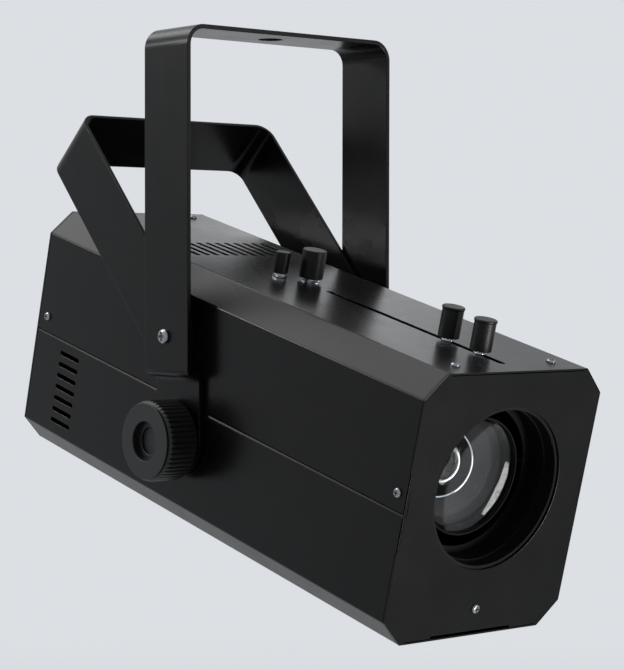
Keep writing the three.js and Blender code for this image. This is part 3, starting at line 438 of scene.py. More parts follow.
# Hood, barrels and rings: nearly no light comes back, so only the edges draw thin lines
FLAT_BLACK = Finish("flat_black_anodised", "black_anodised", "030303", 0.6, specular=0.12, grain_mm=0.4,
                    grain_depth_mm=0.006)

# Washers: a waxy dark grey
NYLON = Finish("moulded_black_nylon", "nylon", "141415", 0.55, grain_mm=0.4)

# Stems, nuts and studs: small bright sparks
ZINC = BrushedMetal("bright_zinc_plate", "bright_steel", "c9ccd0", 0.22, metallic=1.0, grain_depth_mm=0.002)

# Screw heads: a duller grey spark that still shows the cross recess
NICKEL = BrushedMetal("dull_nickel_plate", "bright_steel", "8b8e92", 0.26, metallic=1.0, grain_depth_mm=0.002)

# Heat sink and gobo ring: dark metal that gleams along its tool lines
DARK_ANODISED = BrushedMetal("dark_anodised_aluminium", "black_anodised", "2c2e31", 0.36, metallic=0.9,
                             grain_depth_mm=0.003)

# Baffle behind the focus lens: the grey field that the lens shows
BAFFLE_GREY = Finish("grey_phosphated_sheet", "black_anodised", "1e1e1e", 0.5, grain_mm=0.6,
                     grain_depth_mm=0.004)

# Guide rods: blackened steel that keeps bright spots out of the lens
BLACK_OXIDE = BrushedMetal("black_oxide_steel", "bright_steel", "141414", 0.4, metallic=0.8,
                           grain_depth_mm=0.002)

# Bush, potentiometer and lamp plate: pale satin metal
BARE_ALUMINIUM = BrushedMetal("machined_aluminium", "bare_aluminium", "b4b8bd", 0.3, metallic=1.0,
                              grain_depth_mm=0.003)

# Beads of the baffle: the thin white arcs in the lens
POLISHED = BrushedMetal("polished_aluminium_edge", "bare_aluminium", "dfe6ee", 0.12, metallic=1.0,
                        grain_depth_mm=0.0005)

# Focus lens: clear, with the white crescent off its back face
LENS_GLASS = ClearGlass("coated_lens_glass", "clear_glass", "f6f6f6", 0.0)

# Inner lenses: clear and almost without reflections
INNER_GLASS = ClearGlass("multicoated_lens_glass", "clear_glass", "f6f6f6", 0.0, coating="0e1013",
                         bare="0e1013")

# Gobo: dark mirror-coated glass
GOBO_GLASS = Finish("metal_coated_glass", "gobo_glass", "1b1e22", 0.15, metallic=0.5)

# Driver board: green resist under a thin gloss
BOARD_GREEN = Finish("green_solder_mask", "circuit_board", "1f4a33", 0.45)

# Lamp board: white resist round the emitter
BOARD_WHITE = Finish("white_solder_mask", "lamp_board", "b9bab6", 0.5)

# Emitter: a yellow silicone dot
PHOSPHOR = Finish("yellow_phosphor_silicone", "phosphor", "d8c452", 0.3)


# Shapes


def wire(points: Points, y: float) -> tuple[Mesh, list[bmesh.types.BMVert]]:
    """Start a mesh with corner points in X and Z at one Y."""
    bm = bmesh.new()
    return bm, [bm.verts.new((x, y, z)) for x, z in points]


def sheet_along_y(points: Points, start: float, end: float) -> Mesh:
    """Draw an open line in X and Z out along Y into a sheet.

    Args:
        points: corners of the line.
        start: Y at which the sheet begins.
        end: Y at which it ends.

    Returns:
        The open sheet.
    """
    bm, corners = wire(points, start)
    edges = [bm.edges.new(pair) for pair in zip(corners, corners[1:])]
    made = bmesh.ops.extrude_edge_only(bm, edges=edges)["geom"]
    far = [item for item in made if isinstance(item, bmesh.types.BMVert)]
    bmesh.ops.translate(bm, verts=far, vec=(0, end - start, 0))
    return bm


def prism_along_y(points: Points, start: float, end: float) -> Mesh:
    """Push a closed outline in X and Z along Y into a solid.

    Args:
        points: X and Z of the corners, in order.
        start: Y of the first face.
        end: Y of the second face.

    Returns:
        The closed solid.
    """
    bm, corners = wire(points, start)
    face = bm.faces.new(corners)
    extrude_face(bm, face, (0, end - start, 0))
    return bm


def extrude_face(bm: Mesh, face: bmesh.types.BMFace, step: Place) -> None:
    """Pull a face along a step, leaving a closed solid.

    Args:
        bm: the mesh.
        face: the face that is pulled.
        step: how far it goes.
    """
    made = bmesh.ops.extrude_face_region(bm, geom=[face], use_keep_orig=True)["geom"]
    far = [item for item in made if isinstance(item, bmesh.types.BMVert)]
    bmesh.ops.translate(bm, verts=far, vec=step)
    bmesh.ops.recalc_face_normals(bm, faces=bm.faces)


def block(low: Place, high: Place) -> Mesh:
    """Make a box between two corners.

    Args:
        low: its lowest corner.
        high: its highest corner.

    Returns:
        The box.
    """
    bm = bmesh.new()
    size = Vector(high) - Vector(low)
    middle = (Vector(high) + Vector(low)) / 2
    stretch = Matrix.Diagonal((*size, 1.0))
    bmesh.ops.create_cube(bm, size=1.0, matrix=Matrix.Translation(middle) @ stretch)
    return bm


def pill(length: float, width: float, depth: tuple[float, float], segments: int = 24) -> Mesh:
    """Make a prism with rounded ends: length along Y, depth along Z.

    Args:
        length: overall length.
        width: width, and twice the radius of the ends.
        depth: lowest and highest Z.
        segments: number of flats round both ends.

    Returns:
        The closed solid, centred on X and Y.
    """
    bm = bmesh.new()
    half_step = Matrix.Rotation(math.pi / segments, 4, "Z")
    bmesh.ops.create_circle(bm, cap_ends=True, radius=width / 2, segments=segments, matrix=half_step)
    reach = (length - width) / 2
    for vert in bm.verts:
        vert.co.y += math.copysign(reach, vert.co.y)
        vert.co.z = depth[0]
    extrude_face(bm, bm.faces[:][0], (0, 0, depth[1] - depth[0]))
    return bm


def turned(profile: Points, flats: Round, axis: Axis = Axis.Y, centre: tuple[float, float] = (0.0, 0.0),
           closed: bool = False) -> Mesh:
    """Spin a profile about an axis.

    Args:
        profile: radius and place along the axis, in order.
        flats: number of flats.
        axis: direction of the axis.
        centre: the two other coordinates of the axis, in X, Y, Z order.
        closed: whether the last point joins the first, as on a ring.

    Returns:
        The turned mesh.
    """
    bm = bmesh.new()
    corners = [bm.verts.new((radius, 0, place)) for radius, place in profile]
    edges = [bm.edges.new(pair) for pair in zip(corners, corners[1:])]
    if closed:
        edges.append(bm.edges.new((corners[-1], corners[0])))
    bmesh.ops.spin(bm, geom=corners + edges, cent=(0, 0, 0), axis=(0, 0, 1), angle=math.tau,
                   steps=flats.value, use_merge=True)
    bmesh.ops.remove_doubles(bm, verts=bm.verts, dist=MERGE)
    turn = {
        Axis.X: Matrix.Translation((0, *centre)) @ Matrix.Rotation(math.pi / 2, 4, "Y"),
        Axis.Y: Matrix.Translation((centre[0], 0, centre[1])) @ Matrix.Rotation(-math.pi / 2, 4, "X"),
        Axis.Z: Matrix.Translation((*centre, 0)),
    }[axis]
    bmesh.ops.transform(bm, matrix=turn, verts=bm.verts)
    bmesh.ops.recalc_face_normals(bm, faces=bm.faces)
    return bm


def rod(radius: float, start: float, end: float) -> Points:
    """Give the profile of a solid round bar."""
    return [(0.0, start), (radius, start), (radius, end), (0.0, end)]


def band(bore: float, radius: float, start: float, end: float) -> Points:
    """Give the profile of a plain ring."""
    return [(bore, start), (radius, start), (radius, end), (bore, end)]


def arc(centre: tuple[float, float], radius: float, start_deg: float, end_deg: float, steps: int) -> Points:
    """Give points along a circular arc in a profile."""
    angles = [math.radians(start_deg + (end_deg - start_deg) * i / steps) for i in range(steps + 1)]
    return [(centre[0] + radius * math.cos(a), centre[1] + radius * math.sin(a)) for a in angles]


def moved(bm: Mesh, matrix: Matrix) -> Mesh:
    """Transform a whole mesh and hand it back."""
    bmesh.ops.transform(bm, matrix=matrix, verts=bm.verts)
    return bm


def at(x: float, y: float, z: float, turn_deg: float = 0.0, axis: Axis = Axis.X) -> Matrix:
    """Give the matrix that turns a part about its own origin and moves it to a place."""
    return Matrix.Translation((x, y, z)) @ Matrix.Rotation(math.radians(turn_deg), 4, axis.value)


def gathered(parts: list[Mesh]) -> Mesh:
    """Put several closed meshes into one.

    Args:
        parts: the meshes, which are used up.

    Returns:
        The whole mesh.
    """
    whole = bmesh.new()
    for part in parts:
        mesh = bpy.data.meshes.new("part")
        part.to_mesh(mesh)
        part.free()
        whole.from_mesh(mesh)
        bpy.data.meshes.remove(mesh)
    return whole


def copied(bm: Mesh, places: list[Matrix]) -> Mesh:
    """Repeat a mesh at several places, in one mesh.

    Args:
        bm: the mesh, which is used up.
        places: a matrix for each copy.

    Returns:
        The mesh of all copies.
    """
    whole = gathered([moved(bm.copy(), place) for place in places])
    bm.free()
    return whole


def as_object(bm: Mesh, name: str) -> bpy.types.Object:
    """Put a mesh into the scene as an object and free its working copy.

    Args:
        bm: the mesh, which is used up.
        name: name of the object.

    Returns:
        The object.
    """
    mesh = bpy.data.meshes.new(name)
    bm.to_mesh(mesh)
    bm.free()
    made = bpy.data.objects.new(name, mesh)
    bpy.context.scene.collection.objects.link(made)
    return made


def evaluated(target: bpy.types.Object, *spares: bpy.types.Object) -> Mesh:
    """Give an object's mesh with its modifiers applied, and remove it and the spare objects.

    Args:
        target: the object.
        spares: the objects that its modifiers used.

    Returns:
        The mesh.
    """
    graph = bpy.context.evaluated_depsgraph_get()
    mesh = bpy.data.meshes.new_from_object(target.evaluated_get(graph))
    result = bmesh.new()
    result.from_mesh(mesh)
    bpy.data.meshes.remove(mesh)
    for spare in (target, *spares):
        data = spare.data
        bpy.data.objects.remove(spare)
        bpy.data.meshes.remove(data)
    return result


def combined(body: Mesh, tools: list[Mesh], change: Change) -> Mesh:
    """Join tools to a body, cut them from it, or keep what lies in them.

    Args:
        body: closed mesh that is changed.
        tools: closed meshes, each clear of the others.
        change: what happens to the body.

    Returns:
        The new mesh, with flat regions whole again.
    """
    target = as_object(body, "target")
    tool = as_object(gathered(tools), "tool")
    step = target.modifiers.new("step", "BOOLEAN")
    step.operation = change.value
    step.solver = "EXACT"
    step.object = tool
    result = evaluated(target, tool)
    bmesh.ops.remove_doubles(result, verts=result.verts, dist=MERGE)
    bmesh.ops.dissolve_limit(result, angle_limit=math.radians(FLAT_DEG), verts=result.verts,
                             edges=result.edges)
    return result


def cut(body: Mesh, *tools: Mesh) -> Mesh:
    """Cut tools from a body."""
    return combined(body, list(tools), Change.CUT)


def join(body: Mesh, *tools: Mesh) -> Mesh:
    """Weld tools to a body."""
    return combined(body, list(tools), Change.JOIN)


def rounded(bm: Mesh, edges: list[bmesh.types.BMEdge], setback: float, segments: int) -> None:
    """Round edges off; each face beside them gives up a strip as wide as the setback."""
    bmesh.ops.bevel(bm, geom=edges, offset=setback, offset_type="OFFSET", segments=segments,
                    profile=ROUND_PROFILE, affect="EDGES", clamp_overlap=False, material=-1)


def bend(bm: Mesh, radius: float, corners: Points, segments: int) -> None:
    """Round the folds of a sheet that runs along Y.

    Args:
        bm: the open sheet.
        radius: radius of the fold's outer face.
        corners: X and Z of the folds.
        segments: number of flats in a fold.
    """
    for x, z in corners:
        fold = [e for e in bm.edges if all(math.hypot(v.co.x - x, v.co.z - z) < NEAR for v in e.verts)]
        if not fold:
            continue
        normals = [face.normal.copy() for face in fold[0].link_faces]
        setback = radius * math.tan(normals[0].angle(normals[1]) / 2)
        rounded(bm, fold, setback, segments)


def thickened(bm: Mesh, thickness: float) -> Mesh:
    """Give a sheet its thickness, towards the inside of its normals, with even walls.

    Args:
        bm: the sheet, which is used up.
        thickness: thickness of the wall.

    Returns:
        The closed solid.
    """
    target = as_object(bm, "target")
    wall = target.modifiers.new("wall", "SOLIDIFY")
    wall.thickness = thickness
    wall.offset = -1.0
    wall.use_even_offset = True
    return evaluated(target)


def softened(bm: Mesh, width: float, angle_deg: float = SHARP_DEG) -> Mesh:
    """Take the sharpness off every edge that turns by more than an angle.

    Args:
        bm: the mesh, which is changed.
        width: width of the strip that each face gives up.
        angle_deg: the angle.

    Returns:
        The same mesh.
    """
    limit = math.radians(angle_deg)
    sharp = [e for e in bm.edges if len(e.link_faces) == 2 and e.calc_face_angle(0.0) > limit]
    rounded(bm, sharp, width, EDGE_FLATS)
    bmesh.ops.remove_doubles(bm, verts=bm.verts, dist=MERGE)
    return bm


def piece(name: str, bm: Mesh, place: Matrix, finish: Finish, body: str, *nodes: str,
          smooth_deg: float = 35.0) -> None:
    """Finish a piece: put it in place, shade it, give it its finish and let it ride on its body.

    Args:
        name: name of the piece.
        bm: its mesh, in the millimetres of its sub-assembly.
        place: frame of the sub-assembly.
        finish: what its surface is.
        body: body that it moves with.
        nodes: CAD nodes that it stands for.
        smooth_deg: edges that turn by more than this stay sharp.
    """
    moved(bm, place)
    bmesh.ops.recalc_face_normals(bm, faces=bm.faces)
    for face in bm.faces:
        face.smooth = True
    limit = math.radians(smooth_deg)
    for edge in bm.edges:
        beside_flat = any(face.calc_area() > FLAT_AREA for face in edge.link_faces)
        edge.smooth = edge.calc_face_angle(0.0) < limit and not beside_flat
    made = as_object(bm, name)
    made.data.materials.append(finish.material())
    shading = made.modifiers.new("flat_faces_stay_flat", "WEIGHTED_NORMAL")
    shading.keep_sharp = True
    shading.weight = FLAT_WEIGHT
    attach(made, body)
    if nodes:
        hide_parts(*nodes)
    LOG.info("%s: %d faces on %s", name, len(made.data.polygons), body)


def pan_head(radius: float, height: float) -> Mesh:
    """Make a pan head with a cross recess: foot at Z 0, top at the given height.

    Args:
        radius: radius of the foot.
        height: height of the crown.

    Returns:
        The head.
    """
    fall = height * HEAD_FALL_SHARE
    crown = arc((radius - fall, height - fall), fall, 0, 90, HEAD_FLATS)
    head = turned([(0.0, 0.0), (radius, 0.0), *crown, (0.0, height)], Round.TINY, Axis.Z)
    reach = radius * RECESS_REACH_SHARE
    blade = radius * RECESS_WIDTH_SHARE
    floor = height * RECESS_FLOOR_SHARE
    for x, y in ((reach, blade), (blade, reach)):
        head = cut(head, block((-x, -y, floor), (x, y, height + HEAD_OVERRUN)))
    return head


def knob_foot(bore: float, depth: float, radius: float, foot: float) -> Points:
    """Give the profile of a small knob from the bottom of its bore to the edge of its foot."""
    return [(0.0, foot + depth), (bore, foot + depth), (bore, foot), (radius - KNOB_LEAD, foot),
            (radius, foot + KNOB_LEAD)]


def knob_crown(radius: float, head: float) -> Points:
    """Give the profile of a small knob's rounded top."""
    return [(radius, head - KNOB_CROWN), (radius - KNOB_CROWN, head), (0.0, head)]


@dataclass
class Housing:
    """Sheet metal housing: two shells, front plate, rear panel and the screws that hold them."""

    body: str = "housing"
    sheet: float = 1.2
    chamfer: float = 16.0
    fold: float = 2.2
    fold_flats: int = 6
    edge: float = 0.22
    plate_edge: float = 0.3
    seam_drop: float = 0.7
    seam_gap: float = 0.4
    flange_rise: float = 16.0
    lip_inset: float = 3.0
    lip_reach: float = 60.0
    lip_slit: float = 0.5
    lower_slit: float = 1.8
    lower_slit_length: float = 68.0
    vent_pitch: float = 8.25
    vent_flats: int = 16
    top_vents: int = 12
    top_vent_length: float = 36.4
    top_vent_width: float = 4.0
    top_vent_place: float = 297.6
    side_vents: int = 7
    side_vent_length: float = 24.0
    side_vent_width: float = 3.3
    side_vent_place: float = 360.3
    side_vent_top: float = 10.4
    rear_vents: int = 9
    rear_vent_length: float = 44.0
    rear_vent_rise: float = 34.0
    opening_radius: float = 52.0
    slot_width: float = 5.0
    index_hole: float = 4.3
    stud_hole: float = 4.4
    connector_drop: float = 34.0
    inlet_place: float = 30.0
    inlet_half_width: float = 13.8
    inlet_half_height: float = 10.3
    fuse_place: float = -34.0
    fuse_hole: float = 6.3
    screw_radius: float = 3.0
    screw_height: float = 1.8
    screw_seat: float = 0.05
    flat_screw_reach: float = 41.0
    flat_screw_places: tuple[float, float] = (15.0, 394.0)
    side_screw_rise: float = 10.2
    side_screw_places: tuple[float, float] = (8.5, 394.2)
    front_screw_drop: float = 67.5
    rear_screw_reach: float = 62.0
    rear_screw_inset: float = 24.0

    @property
    def half(self) -> float:
        """Half the housing's width."""
        return HOUSING_WIDTH / 2

    @property
    def seam(self) -> float:
        """Height of the lower edge of the upper shell."""
        return MIDDLE_RISE - self.seam_drop

    @property
    def lip_half(self) -> float:
        """Half the width of the lips that close over the front plate."""
        return self.half - self.chamfer - self.lip_inset

    @property
    def shell_front(self) -> float:
        """Y at which the sides of the shells begin, behind the front plate."""
        return FRONT + PANEL + FIT

    def build(self) -> None:
        """Make every piece of the housing."""
        sheets = {"upper_shell": self.upper(), "lower_shell": self.lower(), "front_plate": self.front(),
                  "rear_panel": self.rear()}
        for node, bm in sheets.items():
            piece(f"{node}_sheet", bm, HOUSING_FRAME, BLACK_PAINT, self.body, node)
        piece("shell_screws", self.screws(), HOUSING_FRAME, NICKEL, self.body)

    def shoulders(self, edge_z: float, corner_z: float, flat_z: float) -> Points:
        """Give the folded line of one shell, from one side over the flat to the other.

        Args:
            edge_z: height of its free edges.
            corner_z: height where its sides end.
            flat_z: height of its flat.

        Returns:
            X and Z of the folds, in order.
        """
        near = self.half - self.chamfer
        return [(self.half, edge_z), (self.half, corner_z), (near, flat_z),
                (-near, flat_z), (-self.half, corner_z), (-self.half, edge_z)]

    def folded(self, line: Points) -> Mesh:
        """Draw a shell's line out along the housing, fold it and give it its thickness.

        Args:
            line: X and Z of the folds, in order.

        Returns:
            The closed shell.
        """
        bm = sheet_along_y(line, FRONT, REAR - PANEL - FIT)
        bmesh.ops.recalc_face_normals(bm, faces=bm.faces)
        middle = Vector((0, 0, MIDDLE_RISE))
        outwards = sum(1 if f.normal.dot(f.calc_center_median() - middle) > 0 else -1 for f in bm.faces)
        if outwards < 0:
            bmesh.ops.reverse_faces(bm, faces=bm.faces)
        reaches = (self.half, self.half - self.chamfer)
        folds = [p for p in line[1:-1] if min(abs(abs(p[0]) - reach) for reach in reaches) < NEAR]
        bend(bm, self.fold, folds, self.fold_flats)
        return thickened(bm, self.sheet)

    def lip_cutters(self, z: float) -> list[Mesh]:
        """Clear the sheet beside a front lip at height z."""
        return [block((side * self.half * 2, FRONT - OVERRUN, z - self.lip_reach),
                      (side * self.lip_half, self.shell_front, z + self.lip_reach)) for side in SIDES]

    def abreast(self, count: int) -> list[float]:
        """Give the X of vents that stand side by side about the middle."""
        return [(i - (count - 1) / 2) * self.vent_pitch for i in range(count)]

    def upper(self) -> Mesh:
        """Make the upper shell with its slot, vents and holes.

        Returns:
            The upper shell.
        """
        bm = self.folded(self.shoulders(self.seam, TOP - self.chamfer, TOP))
        bm = cut(bm, *self.lip_cutters(TOP))
        through = (TOP - OVERRUN, TOP + OVERRUN)
        slot = pill(SLOT_END - SLOT_START, self.slot_width, through)
        tools = [moved(slot, at(0, from_front((SLOT_START + SLOT_END) / 2), 0))]
        for x in self.abreast(self.top_vents):
            vent = pill(self.top_vent_length, self.top_vent_width, through, self.vent_flats)
            tools.append(moved(vent, at(x, from_front(self.top_vent_place), 0)))
        for radius, x, place in ((self.index_hole, INDEX_OFFSET, INDEX_PLACE),
                                 (NUT_BORE, DIMMER_OFFSET, DIMMER_PLACE)):
            tools.append(turned(rod(radius, *through), Round.SMALL, Axis.Z, (x, from_front(place))))
        return softened(cut(bm, *tools), self.edge)

    def lower(self) -> Mesh:
        """Make the lower shell with its joggled flanges and side vents.

        Returns:
            The lower shell.
        """
        edge = self.seam - self.seam_gap
        flange = edge + self.flange_rise
        inner = self.half - self.sheet - FIT
        outside = self.shoulders(edge, BOTTOM + self.chamfer, BOTTOM)
        bm = self.folded([(inner, flange), (inner, edge), *outside, (-inner, edge), (-inner, flange)])
        bm = cut(bm, *self.lip_cutters(BOTTOM))
        across = (-self.half - OVERRUN, self.half + OVERRUN)
        tools = []
        for i in range(self.side_vents):
            z = MIDDLE_RISE - self.side_vent_top - i * self.vent_pitch
            vent = pill(self.side_vent_length, self.side_vent_width, across, self.vent_flats)
            tools.append(moved(vent, at(0, from_front(self.side_vent_place), z, 90, Axis.Y)))
        tools.append(turned(rod(self.stud_hole, *across), Round.SMALL, Axis.X))
        return softened(cut(bm, *tools), self.edge)

    def outline(self) -> Points:
        """Give the outline of the housing's cross section.

        Returns:
            X and Z of the corners, in order.
        """
        h, c = self.half, self.chamfer
        return [(-h, BOTTOM + c), (-h + c, BOTTOM), (h - c, BOTTOM), (h, BOTTOM + c),
                (h, TOP - c), (h - c, TOP), (-h + c, TOP), (-h, TOP - c)]

    def front(self) -> Mesh:
        """Make the front plate with its opening and the slits along its lips.

        Returns:
            The front plate.
        """
        back = FRONT + PANEL
        ahead = FRONT - OVERRUN
        behind = back + OVERRUN
        wide = self.lip_half + FIT
        deep_half = self.lower_slit_length / 2
        roof = TOP - self.sheet - self.lip_slit
        under = BOTTOM - OVERRUN
        foot = BOTTOM + self.sheet
        plate = prism_along_y(self.outline(), FRONT, back)
        upper = block((-wide, ahead, roof), (wide, behind, TOP + OVERRUN))
        lower = block((-wide, ahead, under), (wide, behind, foot + self.lip_slit))
        deep = block((-deep_half, ahead, under), (deep_half, behind, foot + self.lower_slit))
        hole = turned(rod(self.opening_radius, ahead, behind), Round.WIDE, Axis.Y, (0, OPTICAL_AXIS))
        return softened(cut(cut(plate, lower, upper, hole), deep), self.plate_edge)

    def rear(self) -> Mesh:
        """Make the rear panel with its vents, inlet cut-out and fuse hole.

        Returns:
            The rear panel.
        """
        start = REAR - PANEL
        before = start - OVERRUN
        behind = REAR + OVERRUN
        plate = prism_along_y(self.outline(), start, REAR)
        tools = []
        for x in self.abreast(self.rear_vents):
            vent = pill(self.rear_vent_length, self.top_vent_width, (-behind, -before), self.vent_flats)
            tools.append(moved(vent, at(x, 0, MIDDLE_RISE + self.rear_vent_rise, 90)))
        z = MIDDLE_RISE - self.connector_drop
        left, right = self.inlet_place - self.inlet_half_width, self.inlet_place + self.inlet_half_width
        low, high = z - self.inlet_half_height, z + self.inlet_half_height
        tools.append(block((left, before, low), (right, behind, high)))
        tools.append(turned(rod(self.fuse_hole, before, behind), Round.SMALL, Axis.Y, (self.fuse_place, z)))
        return softened(cut(plate, *tools), self.plate_edge)

    def screws(self) -> Mesh:
        """Make the pan heads on the shells, the front plate and the rear panel.

        Returns:
            All screws in one mesh.
        """
        seat = self.screw_seat
        reach = self.flat_screw_reach
        flats = [from_front(y) for y in self.flat_screw_places]
        places = [at(side * reach, y, TOP + seat) for side in SIDES for y in flats]
        places += [at(side * reach, y, BOTTOM - seat, 180) for side in SIDES for y in flats]
        side_z = MIDDLE_RISE + self.side_screw_rise
        places += [at(side * (self.half + seat), from_front(y), side_z, side * 90, Axis.Y)
                   for side in SIDES for y in self.side_screw_places]
        places.append(at(0, FRONT - seat, MIDDLE_RISE - self.front_screw_drop, 90))
        places += [at(side * self.rear_screw_reach, REAR + seat, z, -90)
                   for side in SIDES for z in (TOP - self.rear_screw_inset, BOTTOM + self.rear_screw_inset)]
        return copied(pan_head(self.screw_radius, self.screw_height), places)


@dataclass
class Strap:
    """A flat steel strap bent to a U, with round ends and holes; the yoke and the folding bracket."""

    name: str
    node: str
    body: str
    place: Matrix
    width: float
    thickness: float
    outer: float
    rise: float
    corner: float
    ends: Points
    holes: tuple[Place, ...]
    clamp_radius: float = 0.0
    end_trim: float = 0.0
    clamp_depth: float = 20.0
    jog_bend: float = 3.8
    corner_flats: int = 14
    jog_flats: int = 5
    edge: float = 0.35

    def build(self) -> None:
        """Make the strap."""
        half = self.width / 2
        right = [(self.ends[0][0], -half), *self.ends[1:], (self.outer, self.rise)]
        line = right + [(-x, z) for x, z in reversed(right)]
        bm = sheet_along_y(line, -half - OVERRUN, half + OVERRUN)
        bmesh.ops.recalc_face_normals(bm, faces=bm.faces)
        top = max(bm.faces, key=lambda f: f.calc_center_median().z)
        if top.normal.z < 0:
            bmesh.ops.reverse_faces(bm, faces=bm.faces)
        bend(bm, self.corner, [(self.outer, self.rise), (-self.outer, self.rise)], self.corner_flats)
        for x, z in self.ends[1:]:
            bend(bm, self.jog_bend, [(x, z), (-x, z)], self.jog_flats)
        span = self.outer + OVERRUN
        bm = combined(thickened(bm, self.thickness), [self.side_view(half, span)], Change.KEEP)
        tools = [turned(rod(radius, -span, span), Round.SMALL, Axis.X, (y, z)) for y, z, radius in self.holes]
        if self.clamp_radius:
            through = (self.rise - self.clamp_depth, self.rise + OVERRUN)
            tools.append(turned(rod(self.clamp_radius, *through), Round.MIDDLE, Axis.Z))
        bm = softened(cut(bm, *tools), self.edge)
        piece(self.name, bm, self.place, BLACK_PAINT, self.body, self.node)

    def side_view(self, half: float, span: float) -> Mesh:
        """Make what the strap fills seen from its side: straight edges and round ends about the pivot.

        Args:
            half: half the strap's width.
            span: how far it reaches to each side.

        Returns:
            A prism along X.
        """
        end = half - self.end_trim
        tip = arc((0, 0), end, 180, 360, Round.MIDDLE.value)
        top = self.rise + OVERRUN
        outline = [(half, top), (-half, top), (-half, half), *tip, (half, half)]
        return moved(prism_along_y(outline, -span, span), Matrix.Rotation(math.pi / 2, 4, "Z"))


@dataclass
class Joint:
    """Pivot screws and swivel washers of the folding bracket."""

    leg_outer: float = 88.6
    bracket_inner: float = 82.0
    nut_length: float = 4.0
    shank_radius: float = 2.5
    shank_lap: float = 0.2
    head_radius: float = 5.0
    head_height: float = 2.8
    edge: float = 0.08
    washer_bore: float = 2.8
    washer_radius: float = 9.0
    washer_span: tuple[float, float] = (84.8, 85.3)

    def build(self) -> None:
        """Make the pieces on both sides."""
        centre = (BRACKET_PIVOT_Y, BRACKET_PIVOT_Z)
        seat = self.leg_outer + FIT
        tip = self.bracket_inner - FIT - self.nut_length - FIT
        ring = band(self.washer_bore, self.washer_radius, *self.washer_span)
        for word, side in SIDE_WORDS.items():
            mirror = Matrix.Diagonal((side, 1, 1, 1))
            shank = turned(rod(self.shank_radius, tip, seat + self.shank_lap), Round.SMALL, Axis.X, centre)
            head = moved(pan_head(self.head_radius, self.head_height), at(seat, *centre, 90, Axis.Y))
            screw = moved(softened(join(shank, head), self.edge), mirror)
            piece(f"pivot_screw_{word}_turned", screw, YOKE_FRAME, NICKEL, "yoke", f"pivot_screw_{word}")
            washer = moved(turned(ring, Round.SMALL, Axis.X, centre, closed=True), mirror)
            piece(f"swivel_washer_{word}_moulded", washer, YOKE_FRAME, NYLON, "yoke",
                  f"swivel_washer_{word}")


